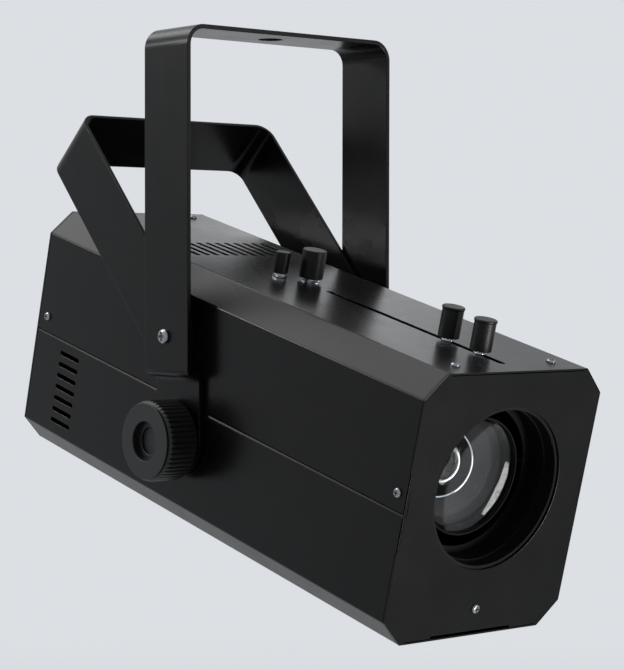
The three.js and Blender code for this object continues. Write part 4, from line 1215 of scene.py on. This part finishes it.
@dataclass
class TiltKnob:
    """Ribbed clamping knob on its stud: a smooth face disc, round rib ends behind it and a stepped recess."""

    radius: float = 26.8
    length: float = 25.2
    start: float = 81.0
    ribs: int = 48
    rib_depth: float = 1.1
    rib_sharpness: float = 3.0
    rib_slope: float = 3.0
    rib_end_radius: float = 24.4
    rear_radius: float = 24.6
    rear_length: float = 2.2
    groove_radius: float = 23.7
    groove_width: float = 0.55
    face_radius: float = 25.1
    face_sheet: float = 1.0
    recess_radius: float = 13.0
    recess_depth: float = 4.2
    well_radius: float = 9.1
    well_depth: float = 1.6
    bore_radius: float = 4.3
    bore_depth: float = 16.0
    hub_radius: float = 7.8
    hollow_radius: float = 21.1
    hollow_depth: float = 3.0
    edge: float = 0.45
    edge_flats: int = 3
    rib_flats: int = 6
    smooth_deg: float = 50.0

    @property
    def end(self) -> float:
        """X of the face."""
        return self.start + self.length

    @property
    def groove(self) -> float:
        """X of the rear of the groove behind the face disc."""
        return self.end - self.face_sheet - self.groove_width

    def build(self) -> None:
        """Make both knobs."""
        for word, side in SIDE_WORDS.items():
            bm = moved(self.knob(), Matrix.Diagonal((side, 1, 1, 1)))
            name = f"tilt_knob_{word}"
            piece(f"{name}_moulded", bm, HOUSING_FRAME, KNOB_ABS, name, name, smooth_deg=self.smooth_deg)

    def knob(self) -> Mesh:
        """Make one knob on the right, its face away from the housing.

        Returns:
            The knob.
        """
        bm = turned([*self.back(), *self.rim(), *self.face()], Round.RIBBED, Axis.X)
        first = self.start + self.rear_length
        for vert in bm.verts:
            reach = math.hypot(vert.co.y, vert.co.z)
            if reach > self.rib_end_radius - self.edge and first <= vert.co.x < self.groove:
                self.press(vert, reach)
        return bm

    def press(self, vert: bmesh.types.BMVert, reach: float) -> None:
        """Move one point of the rim inwards where it lies between two ribs.

        Args:
            vert: the point.
            reach: its distance from the axis.
        """
        fade = min(1.0, (self.groove - vert.co.x) / self.rib_slope)
        phase = math.atan2(vert.co.z, vert.co.y) / math.tau * self.ribs % 1.0
        depth = self.rib_depth * fade * abs(2 * phase - 1) ** self.rib_sharpness
        vert.co.y *= 1 - depth / reach
        vert.co.z *= 1 - depth / reach

    def back(self) -> Points:
        """Give the profile from the bottom of the stud's bore to the rear step.

        Returns:
            Radius and X of the points, in order.
        """
        bore_end = self.start + self.bore_depth
        hollow = self.start + self.hollow_depth
        return [
            (0.0, bore_end), (self.bore_radius, bore_end), (self.bore_radius, self.start),
            (self.hub_radius, self.start), (self.hub_radius, hollow), (self.hollow_radius, hollow),
            (self.hollow_radius, self.start), (self.rear_radius - self.edge, self.start),
            (self.rear_radius, self.start + self.edge), (self.rear_radius, self.start + self.rear_length),
        ]

    def rim(self) -> Points:
        """Give the profile of the ribs, which end in a quarter round.

        Returns:
            Radius and X of the points, in order.
        """
        first = self.start + self.rear_length
        last = self.groove - self.rib_slope
        fall = self.radius - self.rib_end_radius
        angles = [math.pi / 2 * i / self.rib_flats for i in range(self.rib_flats + 1)]
        quarter = [(self.rib_end_radius + fall * math.cos(a), last + self.rib_slope * math.sin(a))
                   for a in angles]
        return [(self.radius - self.edge, first), (self.radius, first + self.edge), *quarter]

    def face(self) -> Points:
        """Give the profile of the face disc, its recess and the well in it.

        Returns:
            Radius and X of the points, in order.
        """
        disc = self.end - self.face_sheet
        floor = self.end - self.recess_depth
        well = floor - self.well_depth
        edge, flats = self.edge, self.edge_flats
        return [
            (self.groove_radius, self.groove), (self.groove_radius, disc), (self.face_radius - edge, disc),
            *arc((self.face_radius - edge, self.end - edge), edge, 0, 90, flats),
            *arc((self.recess_radius + edge, self.end - edge), edge, 90, 180, flats),
            (self.recess_radius, floor), *arc((self.well_radius + edge, floor - edge), edge, 90, 180, flats),
            (self.well_radius, well), (0.0, well),
        ]


@dataclass
class SlideKnob:
    """Knob with a cap, on a stem that slides in the slot: focus or zoom."""

    word: str
    place: float
    foot: float = TOP + 2.3
    radius: float = 6.9
    cap_radius: float = 7.3
    cap: float = 1.6
    cap_step: float = 0.2
    height: float = 20.0
    bore: float = 2.5
    bore_depth: float = 12.0
    stem_radius: float = 2.2
    stem_foot: float = 70.0
    collar_radius: float = 4.0
    collar_sheet: float = 0.8
    knob_edge: float = 0.15
    stem_edge: float = 0.1

    def build(self) -> None:
        """Make the knob and its stem."""
        centre = (0.0, from_front(self.place))
        knob = softened(turned(self.knob_profile(), Round.SMALL, Axis.Z, centre), self.knob_edge, TURNED_DEG)
        piece(f"{self.word}_knob_moulded", knob, HOUSING_FRAME, SOFT_BLACK, f"{self.word}_knob",
              f"{self.word}_knob")
        stem = softened(turned(self.stem_profile(), Round.SMALL, Axis.Z, centre), self.stem_edge, TURNED_DEG)
        piece(f"{self.word}_stem_turned", stem, HOUSING_FRAME, ZINC, f"{self.word}_carriage",
              f"{self.word}_stem")

    def knob_profile(self) -> Points:
        """Give the profile of the knob, whose cap stands out a little.

        Returns:
            Radius and Z of the points, in order.
        """
        head = self.foot + self.height
        cap = head - self.cap
        step = self.cap_step
        return [
            *knob_foot(self.bore, self.bore_depth, self.radius, self.foot), (self.radius, cap - step),
            (self.cap_radius - step / 2, cap), (self.cap_radius, cap + step),
            *knob_crown(self.cap_radius, head),
        ]

    def stem_profile(self) -> Points:
        """Give the profile of the stem, with the collar that rests on the housing.

        Returns:
            Radius and Z of the points, in order.
        """
        collar = TOP + FIT
        over = collar + self.collar_sheet
        end = self.foot + self.bore_depth - FIT
        radius, wide = self.stem_radius, self.collar_radius
        return [(0.0, self.stem_foot), (radius, self.stem_foot), (radius, collar), (wide, collar),
                (wide, over), (radius, over), (radius, end), (0.0, end)]


@dataclass
class Controls:
    """Index knob with its bush and screws, and the dimmer knob on its nut."""

    bore_depth: float = 11.7
    knob_edge: float = 0.15
    screw_ring: float = 6.3
    screw_radius: float = 1.5
    screw_height: float = 1.1
    screw_seat: float = 0.05
    screw_count: int = 4
    nut_radius: float = 4.9
    nut_sides: int = 6
    nut_height: float = 2.0
    nut_edge: float = 0.2

    def build(self) -> None:
        """Make the pieces on top of the housing."""
        index = (INDEX_OFFSET, from_front(INDEX_PLACE))
        dimmer = (DIMMER_OFFSET, from_front(DIMMER_PLACE))
        knob = self.knob(index, radius=8.2, rise=2.7, height=19.3, bore=2.8)
        piece("index_knob_moulded", knob, HOUSING_FRAME, SOFT_BLACK, "index_drive", "index_knob")
        knob = self.knob(dimmer, radius=5.0, rise=3.0, height=14.5, bore=2.5)
        piece("dimmer_knob_moulded", knob, HOUSING_FRAME, SOFT_BLACK, "dimmer_drive", "dimmer_knob")
        angles = [math.tau / self.screw_count * i for i in range(self.screw_count)]
        heads = [at(index[0] + self.screw_ring * math.cos(a), index[1] + self.screw_ring * math.sin(a),
                    TOP + self.screw_seat) for a in angles]
        screws = copied(pan_head(self.screw_radius, self.screw_height), heads)
        piece("bush_screws", screws, HOUSING_FRAME, ZINC, "housing")
        piece("dimmer_nut_plated", self.nut(dimmer), HOUSING_FRAME, ZINC, "housing", "dimmer_nut")

    def knob(self, centre: tuple[float, float], radius: float, rise: float, height: float,
             bore: float) -> Mesh:
        """Make a plain knob with a bored foot and a lightly rounded cap.

        Args:
            centre: X and Y of its axis.
            radius: its radius.
            rise: height of its foot over the housing.
            height: its height.
            bore: radius of the bore for the shaft.

        Returns:
            The knob.
        """
        foot = TOP + rise
        profile = [*knob_foot(bore, self.bore_depth, radius, foot), *knob_crown(radius, foot + height)]
        return softened(turned(profile, Round.SMALL, Axis.Z, centre), self.knob_edge, TURNED_DEG)

    def nut(self, centre: tuple[float, float]) -> Mesh:
        """Make the hexagon nut of the dimmer with its rounded corners.

        Args:
            centre: X and Y of its axis.

        Returns:
            The nut.
        """
        bm = bmesh.new()
        bmesh.ops.create_circle(bm, cap_ends=True, radius=self.nut_radius, segments=self.nut_sides,
                                matrix=at(*centre, TOP + FIT))
        extrude_face(bm, bm.faces[:][0], (0, 0, self.nut_height))
        bore = turned(rod(NUT_BORE, TOP - OVERRUN, TOP + OVERRUN), Round.SMALL, Axis.Z, centre)
        return softened(cut(bm, bore), self.nut_edge)


@dataclass
class LensHood:
    """Stepped tube behind the front opening, notched on top for the stems."""

    bore: float = 50.0
    wall: float = 2.0
    length: float = 26.0
    flange_radius: float = 57.0
    lip_bore: float = 46.0
    rib_bore: float = 49.2
    rib_start: float = 9.0
    rib_end: float = 13.0
    notch_half: float = 6.25
    notch_place: float = 11.1
    notch_reach: float = 60.0
    edge: float = 0.25

    def build(self) -> None:
        """Make the hood."""
        start = FRONT + PANEL + FIT
        end = start + self.length
        rib, rib_end = start + self.rib_start, start + self.rib_end
        profile = [
            (self.bore, start), (self.flange_radius, start), (self.flange_radius, start + self.wall),
            (self.bore + self.wall, start + self.wall), (self.bore + self.wall, end), (self.lip_bore, end),
            (self.lip_bore, end - self.wall), (self.bore, end - self.wall), (self.bore, rib_end),
            (self.rib_bore, rib_end), (self.rib_bore, rib), (self.bore, rib),
        ]
        bm = turned(profile, Round.WIDE, Axis.Y, (0, OPTICAL_AXIS), closed=True)
        notch = block((-self.notch_half, from_front(self.notch_place), OPTICAL_AXIS),
                      (self.notch_half, end + OVERRUN, OPTICAL_AXIS + self.notch_reach))
        bm = softened(cut(bm, notch), self.edge)
        piece("lens_hood_moulded", bm, HOUSING_FRAME, FLAT_BLACK, "housing", "lens_hood")


@dataclass
class LensGroup:
    """One sliding lens group: barrel on its two ears, lens, retaining ring, and a baffle where it has one."""

    word: str
    place: float
    lead: float
    length: float
    radius: float
    lens_radius: float
    seat_radius: float
    seat_place: float
    dome_radius: float
    lens_edge: float
    ring_bore: float
    ring_length: float
    guide_start: float
    guide_end: float
    glass: Finish = LENS_GLASS
    beads: Points = field(default_factory=list)
    bead_place: float = 0.0
    baffle_reach: float = 0.0
    baffle_place: float = 0.0
    baffle_sheet: float = 0.35
    rod_reach: float = 60.0
    rod_radius: float = 3.0
    collar: float = 3.2
    ear_sheet: float = 3.0
    ear_flats: int = 12
    boss_radius: float = 4.8
    boss_rise: float = 6.0
    boss_bore: float = 2.5
    boss_bore_depth: float = 4.5
    seat_slope: float = 1.4
    lens_steps: int = 24
    ring_lead: float = 0.6
    bead_flats: int = 12
    edge: float = 0.2
    tube_deg: float = 30.0
    step: float = 0.15

    @property
    def start(self) -> float:
        """Y of the barrel's front edge."""
        return from_front(self.place - self.lead)

    @property
    def end(self) -> float:
        """Y of the barrel's rear edge."""
        return self.start + self.length

    @property
    def seat(self) -> float:
        """Y of the shoulder that the lens sits on."""
        return self.start + self.seat_place

    def rise(self, radius: float) -> float:
        """Give how far the domed face of the lens stands over its rim, at a radius."""
        over_middle = math.sqrt(self.dome_radius ** 2 - radius ** 2)
        return over_middle - math.sqrt(self.dome_radius ** 2 - self.lens_radius ** 2)

    def add(self, part: str, bm: Mesh, finish: Finish, *nodes: str) -> None:
        """Finish a piece of the group, which rides with it."""
        piece(f"{self.word}_{part}", bm, HOUSING_FRAME, finish, f"{self.word}_carriage", *nodes)

    def build(self) -> None:
        """Make the pieces of the group."""
        rim = self.seat - FIT - self.lens_edge
        ring_end = rim - self.rise(self.ring_bore) - FIT
        self.add("barrel_turned", self.barrel(), FLAT_BLACK, f"{self.word}_barrel")
        self.add("lens_polished", self.lens(rim), self.glass, f"{self.word}_lens")
        self.add("ring_moulded", self.ring(ring_end), FLAT_BLACK, f"{self.word}_ring")
        if self.beads:
            last_deg = 360 - 360 / self.bead_flats
            rings = [self.about_axis(arc((reach, self.start + self.bead_place), radius, 0, last_deg,
                                         self.bead_flats - 1)) for reach, radius in self.beads]
            self.add("beads", gathered(rings), POLISHED)
            self.add("baffle", self.baffle(), BAFFLE_GREY)
            self.add("stop", self.stop(), FLAT_BLACK)

    def about_axis(self, profile: Points, closed: bool = True) -> Mesh:
        """Turn a profile about the optical axis."""
        return turned(profile, Round.WIDE, Axis.Y, (0, OPTICAL_AXIS), closed)

    def bar(self, radius: float, start: float, end: float, x: float, flats: Round = Round.SMALL) -> Mesh:
        """Make a round bar along the optical axis, beside it by x."""
        return turned(rod(radius, start, end), flats, Axis.Y, (x, OPTICAL_AXIS))

    def upright(self, radius: float, start: float, end: float) -> Mesh:
        """Make a round bar that stands where the stem does."""
        return turned(rod(radius, start, end), Round.SMALL, Axis.Z, (0.0, from_front(self.place)))

    def tube(self) -> Mesh:
        """Make the barrel's tube with the seat of the lens in it.

        Returns:
            The tube.
        """
        bore = self.lens_radius + FIT / 2
        return softened(self.about_axis([
            (bore, self.start), (self.radius, self.start), (self.radius, self.end),
            (self.seat_radius, self.end), (self.seat_radius, self.seat + self.seat_slope), (bore, self.seat),
        ]), self.edge, self.tube_deg)

    def barrel(self) -> Mesh:
        """Make the barrel with its ears, the guides on the rods and the boss of the stem.

        Returns:
            The barrel.
        """
        before, behind = self.start - OVERRUN, self.end + 2 * OVERRUN
        sides = (self.rod_reach, -self.rod_reach)
        guide = self.rod_radius + self.collar
        inner = self.bar((self.radius + self.seat_radius) / 2, before, behind, 0, Round.WIDE)
        outline = [point for x, turn in zip(sides, (-90, 90))
                   for point in arc((x, OPTICAL_AXIS), guide - self.step, turn, turn + 180, self.ear_flats)]
        ears = prism_along_y(outline, self.end - self.ear_sheet - self.step, self.end - 2 * self.step)
        ears = cut(ears, inner.copy())
        guides = [self.bar(guide, self.end + self.guide_start, self.end + self.guide_end, x) for x in sides]
        top = OPTICAL_AXIS + self.radius + self.boss_rise
        boss = cut(self.upright(self.boss_radius, OPTICAL_AXIS + self.lens_radius, top), inner)
        bores = [self.bar(self.rod_radius + FIT, before, behind, x) for x in sides]
        bores.append(self.upright(self.boss_bore, top - self.boss_bore_depth, top + OVERRUN))
        whole = cut(join(join(join(self.tube(), ears), *guides), boss), *bores)
        bmesh.ops.triangulate(whole, faces=[face for face in whole.faces if len(face.verts) > 4])
        return whole

    def lens(self, rim: float) -> Mesh:
        """Make the lens: a domed front face, whose rim stands at rim, and a flat back.

        Args:
            rim: Y of the edge of the front face.

        Returns:
            The lens.
        """
        back = self.seat - FIT
        radii = [self.lens_radius * i / self.lens_steps for i in range(self.lens_steps + 1)]
        face = [(r, rim - self.rise(r)) for r in radii]
        return self.about_axis([*face, (self.lens_radius, back), (0.0, back)], closed=False)

    def ring(self, end: float) -> Mesh:
        """Make the retaining ring, whose rear edge stands at end.

        Args:
            end: Y of its rear edge.

        Returns:
            The ring.
        """
        begin = end - self.ring_length
        lead = self.ring_lead
        return softened(self.about_axis([
            (self.ring_bore, end), (self.ring_bore, begin + lead), (self.ring_bore + lead, begin),
            (self.lens_radius, begin), (self.lens_radius, end),
        ]), self.step, TURNED_DEG)

    def baffle(self) -> Mesh:
        """Make the conical sheet that stops stray light, down to its first bead.

        Returns:
            The baffle.
        """
        front = self.start + self.baffle_place
        rear = self.start + self.bead_place
        half = self.baffle_sheet / 2
        hole = self.beads[0][0]
        return self.about_axis([
            (self.baffle_reach, front - half), (hole, rear - half), (hole, rear + half),
            (self.baffle_reach, front + half),
        ])

    def stop(self) -> Mesh:
        """Make the flat ring between the two beads.

        Returns:
            The stop ring.
        """
        outer, inner = (reach for reach, _ in self.beads)
        front = self.start + self.bead_place - self.baffle_sheet / 2
        return self.about_axis(band(outer, inner, front, front + self.baffle_sheet))


KEPT_NODES: dict[Finish, tuple[str, ...]] = {
    ZINC: ("pivot_nut_left", "pivot_nut_right", "nut_plate_left", "nut_plate_right", "knob_spacer_left",
           "knob_spacer_right", "tilt_stud_left", "tilt_stud_right", "index_shaft", "dimmer_shaft",
           "gobo_clip"),
    BLACK_OXIDE: ("guide_rod_left", "guide_rod_right"),
    NYLON: ("friction_washer_left", "friction_washer_right", "gobo_roller"),
    INSIDE_PAINT: ("gate_plate",),
    BLACK_ABS: ("gobo_holder", "condenser_holder", "fan_frame", "fan_rotor", "power_inlet", "fuse_holder"),
    DARK_ANODISED: ("gobo_ring", "heat_sink"),
    GOBO_GLASS: ("gobo_disc",),
    BARE_ALUMINIUM: ("index_bush", "dimmer_potentiometer", "lamp_plate"),
    INNER_GLASS: ("condenser_front_lens", "condenser_rear_lens"),
    BOARD_WHITE: ("led_board",),
    PHOSPHOR: ("led_emitter",),
    BOARD_GREEN: ("driver_board",),
}


def dress_kept_nodes() -> None:
    """Give each CAD node that stays its finish."""
    for finish, names in KEPT_NODES.items():
        for name in names:
            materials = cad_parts[name].data.materials
            materials.clear()
            materials.append(finish.material())


@dataclass(frozen=True)
class Softbox:
    """A rectangular soft lamp that the camera doesn't see; sizes in metres."""

    name: str
    place: Place
    aim: Place
    width: float
    height: float
    watts: float
    roll_deg: float = 0.0

    def hang(self) -> None:
        """Hang the lamp, facing its aim and leaning by its roll."""
        data = bpy.data.lights.new(self.name, "AREA")
        data.shape = "RECTANGLE"
        data.size = self.width
        data.size_y = self.height
        data.energy = self.watts
        made = bpy.data.objects.new(self.name, data)
        made.location = self.place
        made.visible_camera = False
        facing = (Vector(self.aim) - Vector(self.place)).to_track_quat("-Z", "Y").to_matrix()
        roll = Matrix.Rotation(math.radians(self.roll_deg), 3, "Z")
        made.rotation_euler = (facing @ roll).to_euler()
        bpy.context.scene.collection.objects.link(made)


# The beam and line boxes face the lens, and the edge box draws the bright seam and folds
LENS_PLACE = (0.0, -0.19, -0.286)
SOFTBOXES = [
    Softbox("overhead_box", (-0.35, 0.75, 1.2), (0.0, 0.0, -0.2), 1.3, 1.3, watts=18.5),
    Softbox("front_box", (0.9, -1.6, 0.5), (0.0, -0.1, -0.25), 0.9, 0.9, watts=3.5),
    Softbox("rear_box", (1.402, 1.405, 0.75), (0.0, 0.1, -0.15), 0.504, 0.7, watts=0.82),
    Softbox("beam_box", (0.298, -1.180, -0.662), LENS_PLACE, 0.253, 0.54, watts=11.0, roll_deg=-15.0),
    Softbox("line_box", (0.222, -1.203, -0.655), LENS_PLACE, 0.022, 0.2, watts=3.0, roll_deg=-17.0),
    Softbox("edge_box", (-1.27, 1.29, 0.57), (0.0, 0.0, -0.27), 0.25, 0.25, watts=10.0),
]


@dataclass
class Studio:
    """Pale floor, soft lamps and the camera."""

    camera_place: Place = (-0.9225, -1.1356, -0.1630)
    yaw_deg: float = -40.211
    pitch_deg: float = 1.6315
    roll_deg: float = 0.081
    lens_mm: float = 114.702
    sensor_mm: float = 36.0
    sight: float = 100.0
    floor_drop: float = 0.75
    floor_reach: float = 60.0
    floor_near: float = 1.2
    floor_far: float = 4.5
    floor_roughness: float = 0.9
    floor_specular: float = 0.1
    pale: str = "dcdfe3"
    fill: str = "ececec"
    fill_strength: float = 0.6

    def build(self) -> None:
        """Set the whole studio."""
        self.camera()
        self.floor()
        self.world()
        for lamp in SOFTBOXES:
            lamp.hang()
        bpy.context.scene.view_settings.view_transform = "Standard"

    def camera(self) -> None:
        """Place the camera where the photograph was taken."""
        data = bpy.data.cameras.new("camera")
        data.lens = self.lens_mm
        data.sensor_width = self.sensor_mm
        data.clip_end = self.sight
        made = bpy.data.objects.new("camera", data)
        turn = Matrix.Rotation(math.radians(self.yaw_deg), 4, "Z")
        turn @= Matrix.Rotation(math.radians(90 - self.pitch_deg), 4, "X")
        turn @= Matrix.Rotation(math.radians(self.roll_deg), 4, "Z")
        made.matrix_world = Matrix.Translation(self.camera_place) @ turn
        bpy.context.scene.collection.objects.link(made)
        bpy.context.scene.camera = made

    def floor(self) -> None:
        """Lay a plain pale floor under the object, which passes into the backdrop's colour further away."""
        bm = bmesh.new()
        level = CAD_BOX[0][2] - self.floor_drop
        bmesh.ops.create_circle(bm, cap_ends=True, radius=self.floor_reach, segments=Round.WIDE.value,
                                matrix=Matrix.Translation((0, 0, level)))
        made = as_object(bm, "floor")
        material = bpy.data.materials.new("pale_floor")
        material.use_nodes = True
        tree = material.node_tree
        tree.nodes.clear()
        colour = linear(self.pale)
        matt = add_node(tree, "ShaderNodeBsdfPrincipled",
                        {"Base Color": colour, "Roughness": self.floor_roughness,
                         "Specular IOR Level": self.floor_specular})
        glow = add_node(tree, "ShaderNodeEmission", {"Color": colour, "Strength": 1.0})
        place = add_node(tree, "ShaderNodeTexCoord").outputs["Object"]
        away = add_node(tree, "ShaderNodeVectorMath", {"operation": "LENGTH"}, {"Vector": place})
        share = add_node(tree, "ShaderNodeMapRange", {
            "interpolation_type": "SMOOTHSTEP", "From Min": self.floor_near, "From Max": self.floor_far,
        }, {"Value": away.outputs["Value"]})
        factor = add_node(tree, "ShaderNodeMath", {"operation": "MULTIPLY"})
        tree.links.new(share.outputs["Result"], factor.inputs[0])
        tree.links.new(self.seen(tree), factor.inputs[1])
        mix = add_node(tree, "ShaderNodeMixShader", {}, {"Fac": factor.outputs[0]})
        tree.links.new(matt.outputs[0], mix.inputs[1])
        tree.links.new(glow.outputs[0], mix.inputs[2])
        output = add_node(tree, "ShaderNodeOutputMaterial")
        tree.links.new(mix.outputs[0], output.inputs["Surface"])
        made.data.materials.append(material)

    def seen(self, tree: Tree) -> Socket:
        """Give 1 to the rays that show a background: the camera's, off gloss and through glass.

        Args:
            tree: node tree that takes the nodes.

        Returns:
            The share, 0 or 1.
        """
        path = add_node(tree, "ShaderNodeLightPath")
        total = path.outputs["Is Camera Ray"]
        for word in ("Is Glossy Ray", "Is Transmission Ray"):
            either = add_node(tree, "ShaderNodeMath", {"operation": "MAXIMUM"})
            tree.links.new(total, either.inputs[0])
            tree.links.new(path.outputs[word], either.inputs[1])
            total = either.outputs[0]
        return total

    def world(self) -> None:
        """Light the scene plainly and show a pale background to camera, gloss and glass."""
        world = bpy.data.worlds.new("studio")
        bpy.context.scene.world = world
        world.use_nodes = True
        tree = world.node_tree
        tree.nodes.clear()
        lit = add_node(tree, "ShaderNodeBackground",
                       {"Color": linear(self.fill), "Strength": self.fill_strength})
        shown = add_node(tree, "ShaderNodeBackground", {"Color": linear(self.pale), "Strength": 1.0})
        mix = add_node(tree, "ShaderNodeMixShader", {}, {"Fac": self.seen(tree)})
        tree.links.new(lit.outputs[0], mix.inputs[1])
        tree.links.new(shown.outputs[0], mix.inputs[2])
        output = add_node(tree, "ShaderNodeOutputWorld")
        tree.links.new(mix.outputs[0], output.inputs["Surface"])


def yoke_strap() -> Strap:
    """Give the yoke's sizes: joggled legs, a clamp hole on top.

    Returns:
        The strap.
    """
    return Strap(
        name="yoke_strap", node="yoke", body="yoke", place=YOKE_FRAME, width=47.3, thickness=3.0, outer=88.6,
        rise=YOKE_RISE, corner=13.8, ends=[(79.2, 0.0), (79.2, 41.1), (88.6, 42.6)],
        holes=((0.0, 0.0, 4.4), (BRACKET_PIVOT_Y, BRACKET_PIVOT_Z, 2.8)), clamp_radius=8.3,
    )


def bracket_strap() -> Strap:
    """Give the folding bracket's sizes: straight legs on the pivot screws.

    Returns:
        The strap.
    """
    return Strap(
        name="folding_bracket_strap", node="folding_bracket", body="folding_bracket", place=BRACKET_FRAME,
        width=47.3, thickness=2.5, outer=84.5, rise=183.8, corner=12.0, ends=[(84.5, 0.0)],
        holes=((0.0, 0.0, 2.8),), end_trim=1.0,
    )


def lens_groups() -> list[LensGroup]:
    """Give the sizes of the focus and the zoom group.

    Returns:
        Both groups.
    """
    focus = LensGroup(
        word="focus", place=FOCUS_PLACE, lead=13.0, length=27.0, radius=38.3, lens_radius=37.2,
        seat_radius=33.5, seat_place=6.2, dome_radius=92.0, lens_edge=1.2, ring_bore=36.9, ring_length=3.0,
        guide_start=-3.0, guide_end=3.0, beads=[(23.5, 0.45), (19.3, 0.3)], bead_place=25.0,
        baffle_reach=33.2, baffle_place=18.8,
    )
    zoom = LensGroup(
        word="zoom", place=ZOOM_PLACE, lead=6.9, length=14.0, radius=34.0, lens_radius=31.5, seat_radius=29.0,
        seat_place=8.0, dome_radius=60.0, lens_edge=4.0, ring_bore=30.0, ring_length=2.0, guide_start=-9.0,
        guide_end=0.0, glass=INNER_GLASS,
    )
    return [focus, zoom]


def main() -> None:
    """Build the studio, then every sub-assembly in order."""
    logging.basicConfig(level=logging.INFO, format="%(message)s")
    Studio().build()
    dress_kept_nodes()
    Housing().build()
    yoke_strap().build()
    bracket_strap().build()
    Joint().build()
    TiltKnob().build()
    LensHood().build()
    for group in lens_groups():
        group.build()
    SlideKnob("focus", FOCUS_PLACE).build()
    SlideKnob("zoom", ZOOM_PLACE).build()
    Controls().build()


if __name__ == "__main__":
    main()
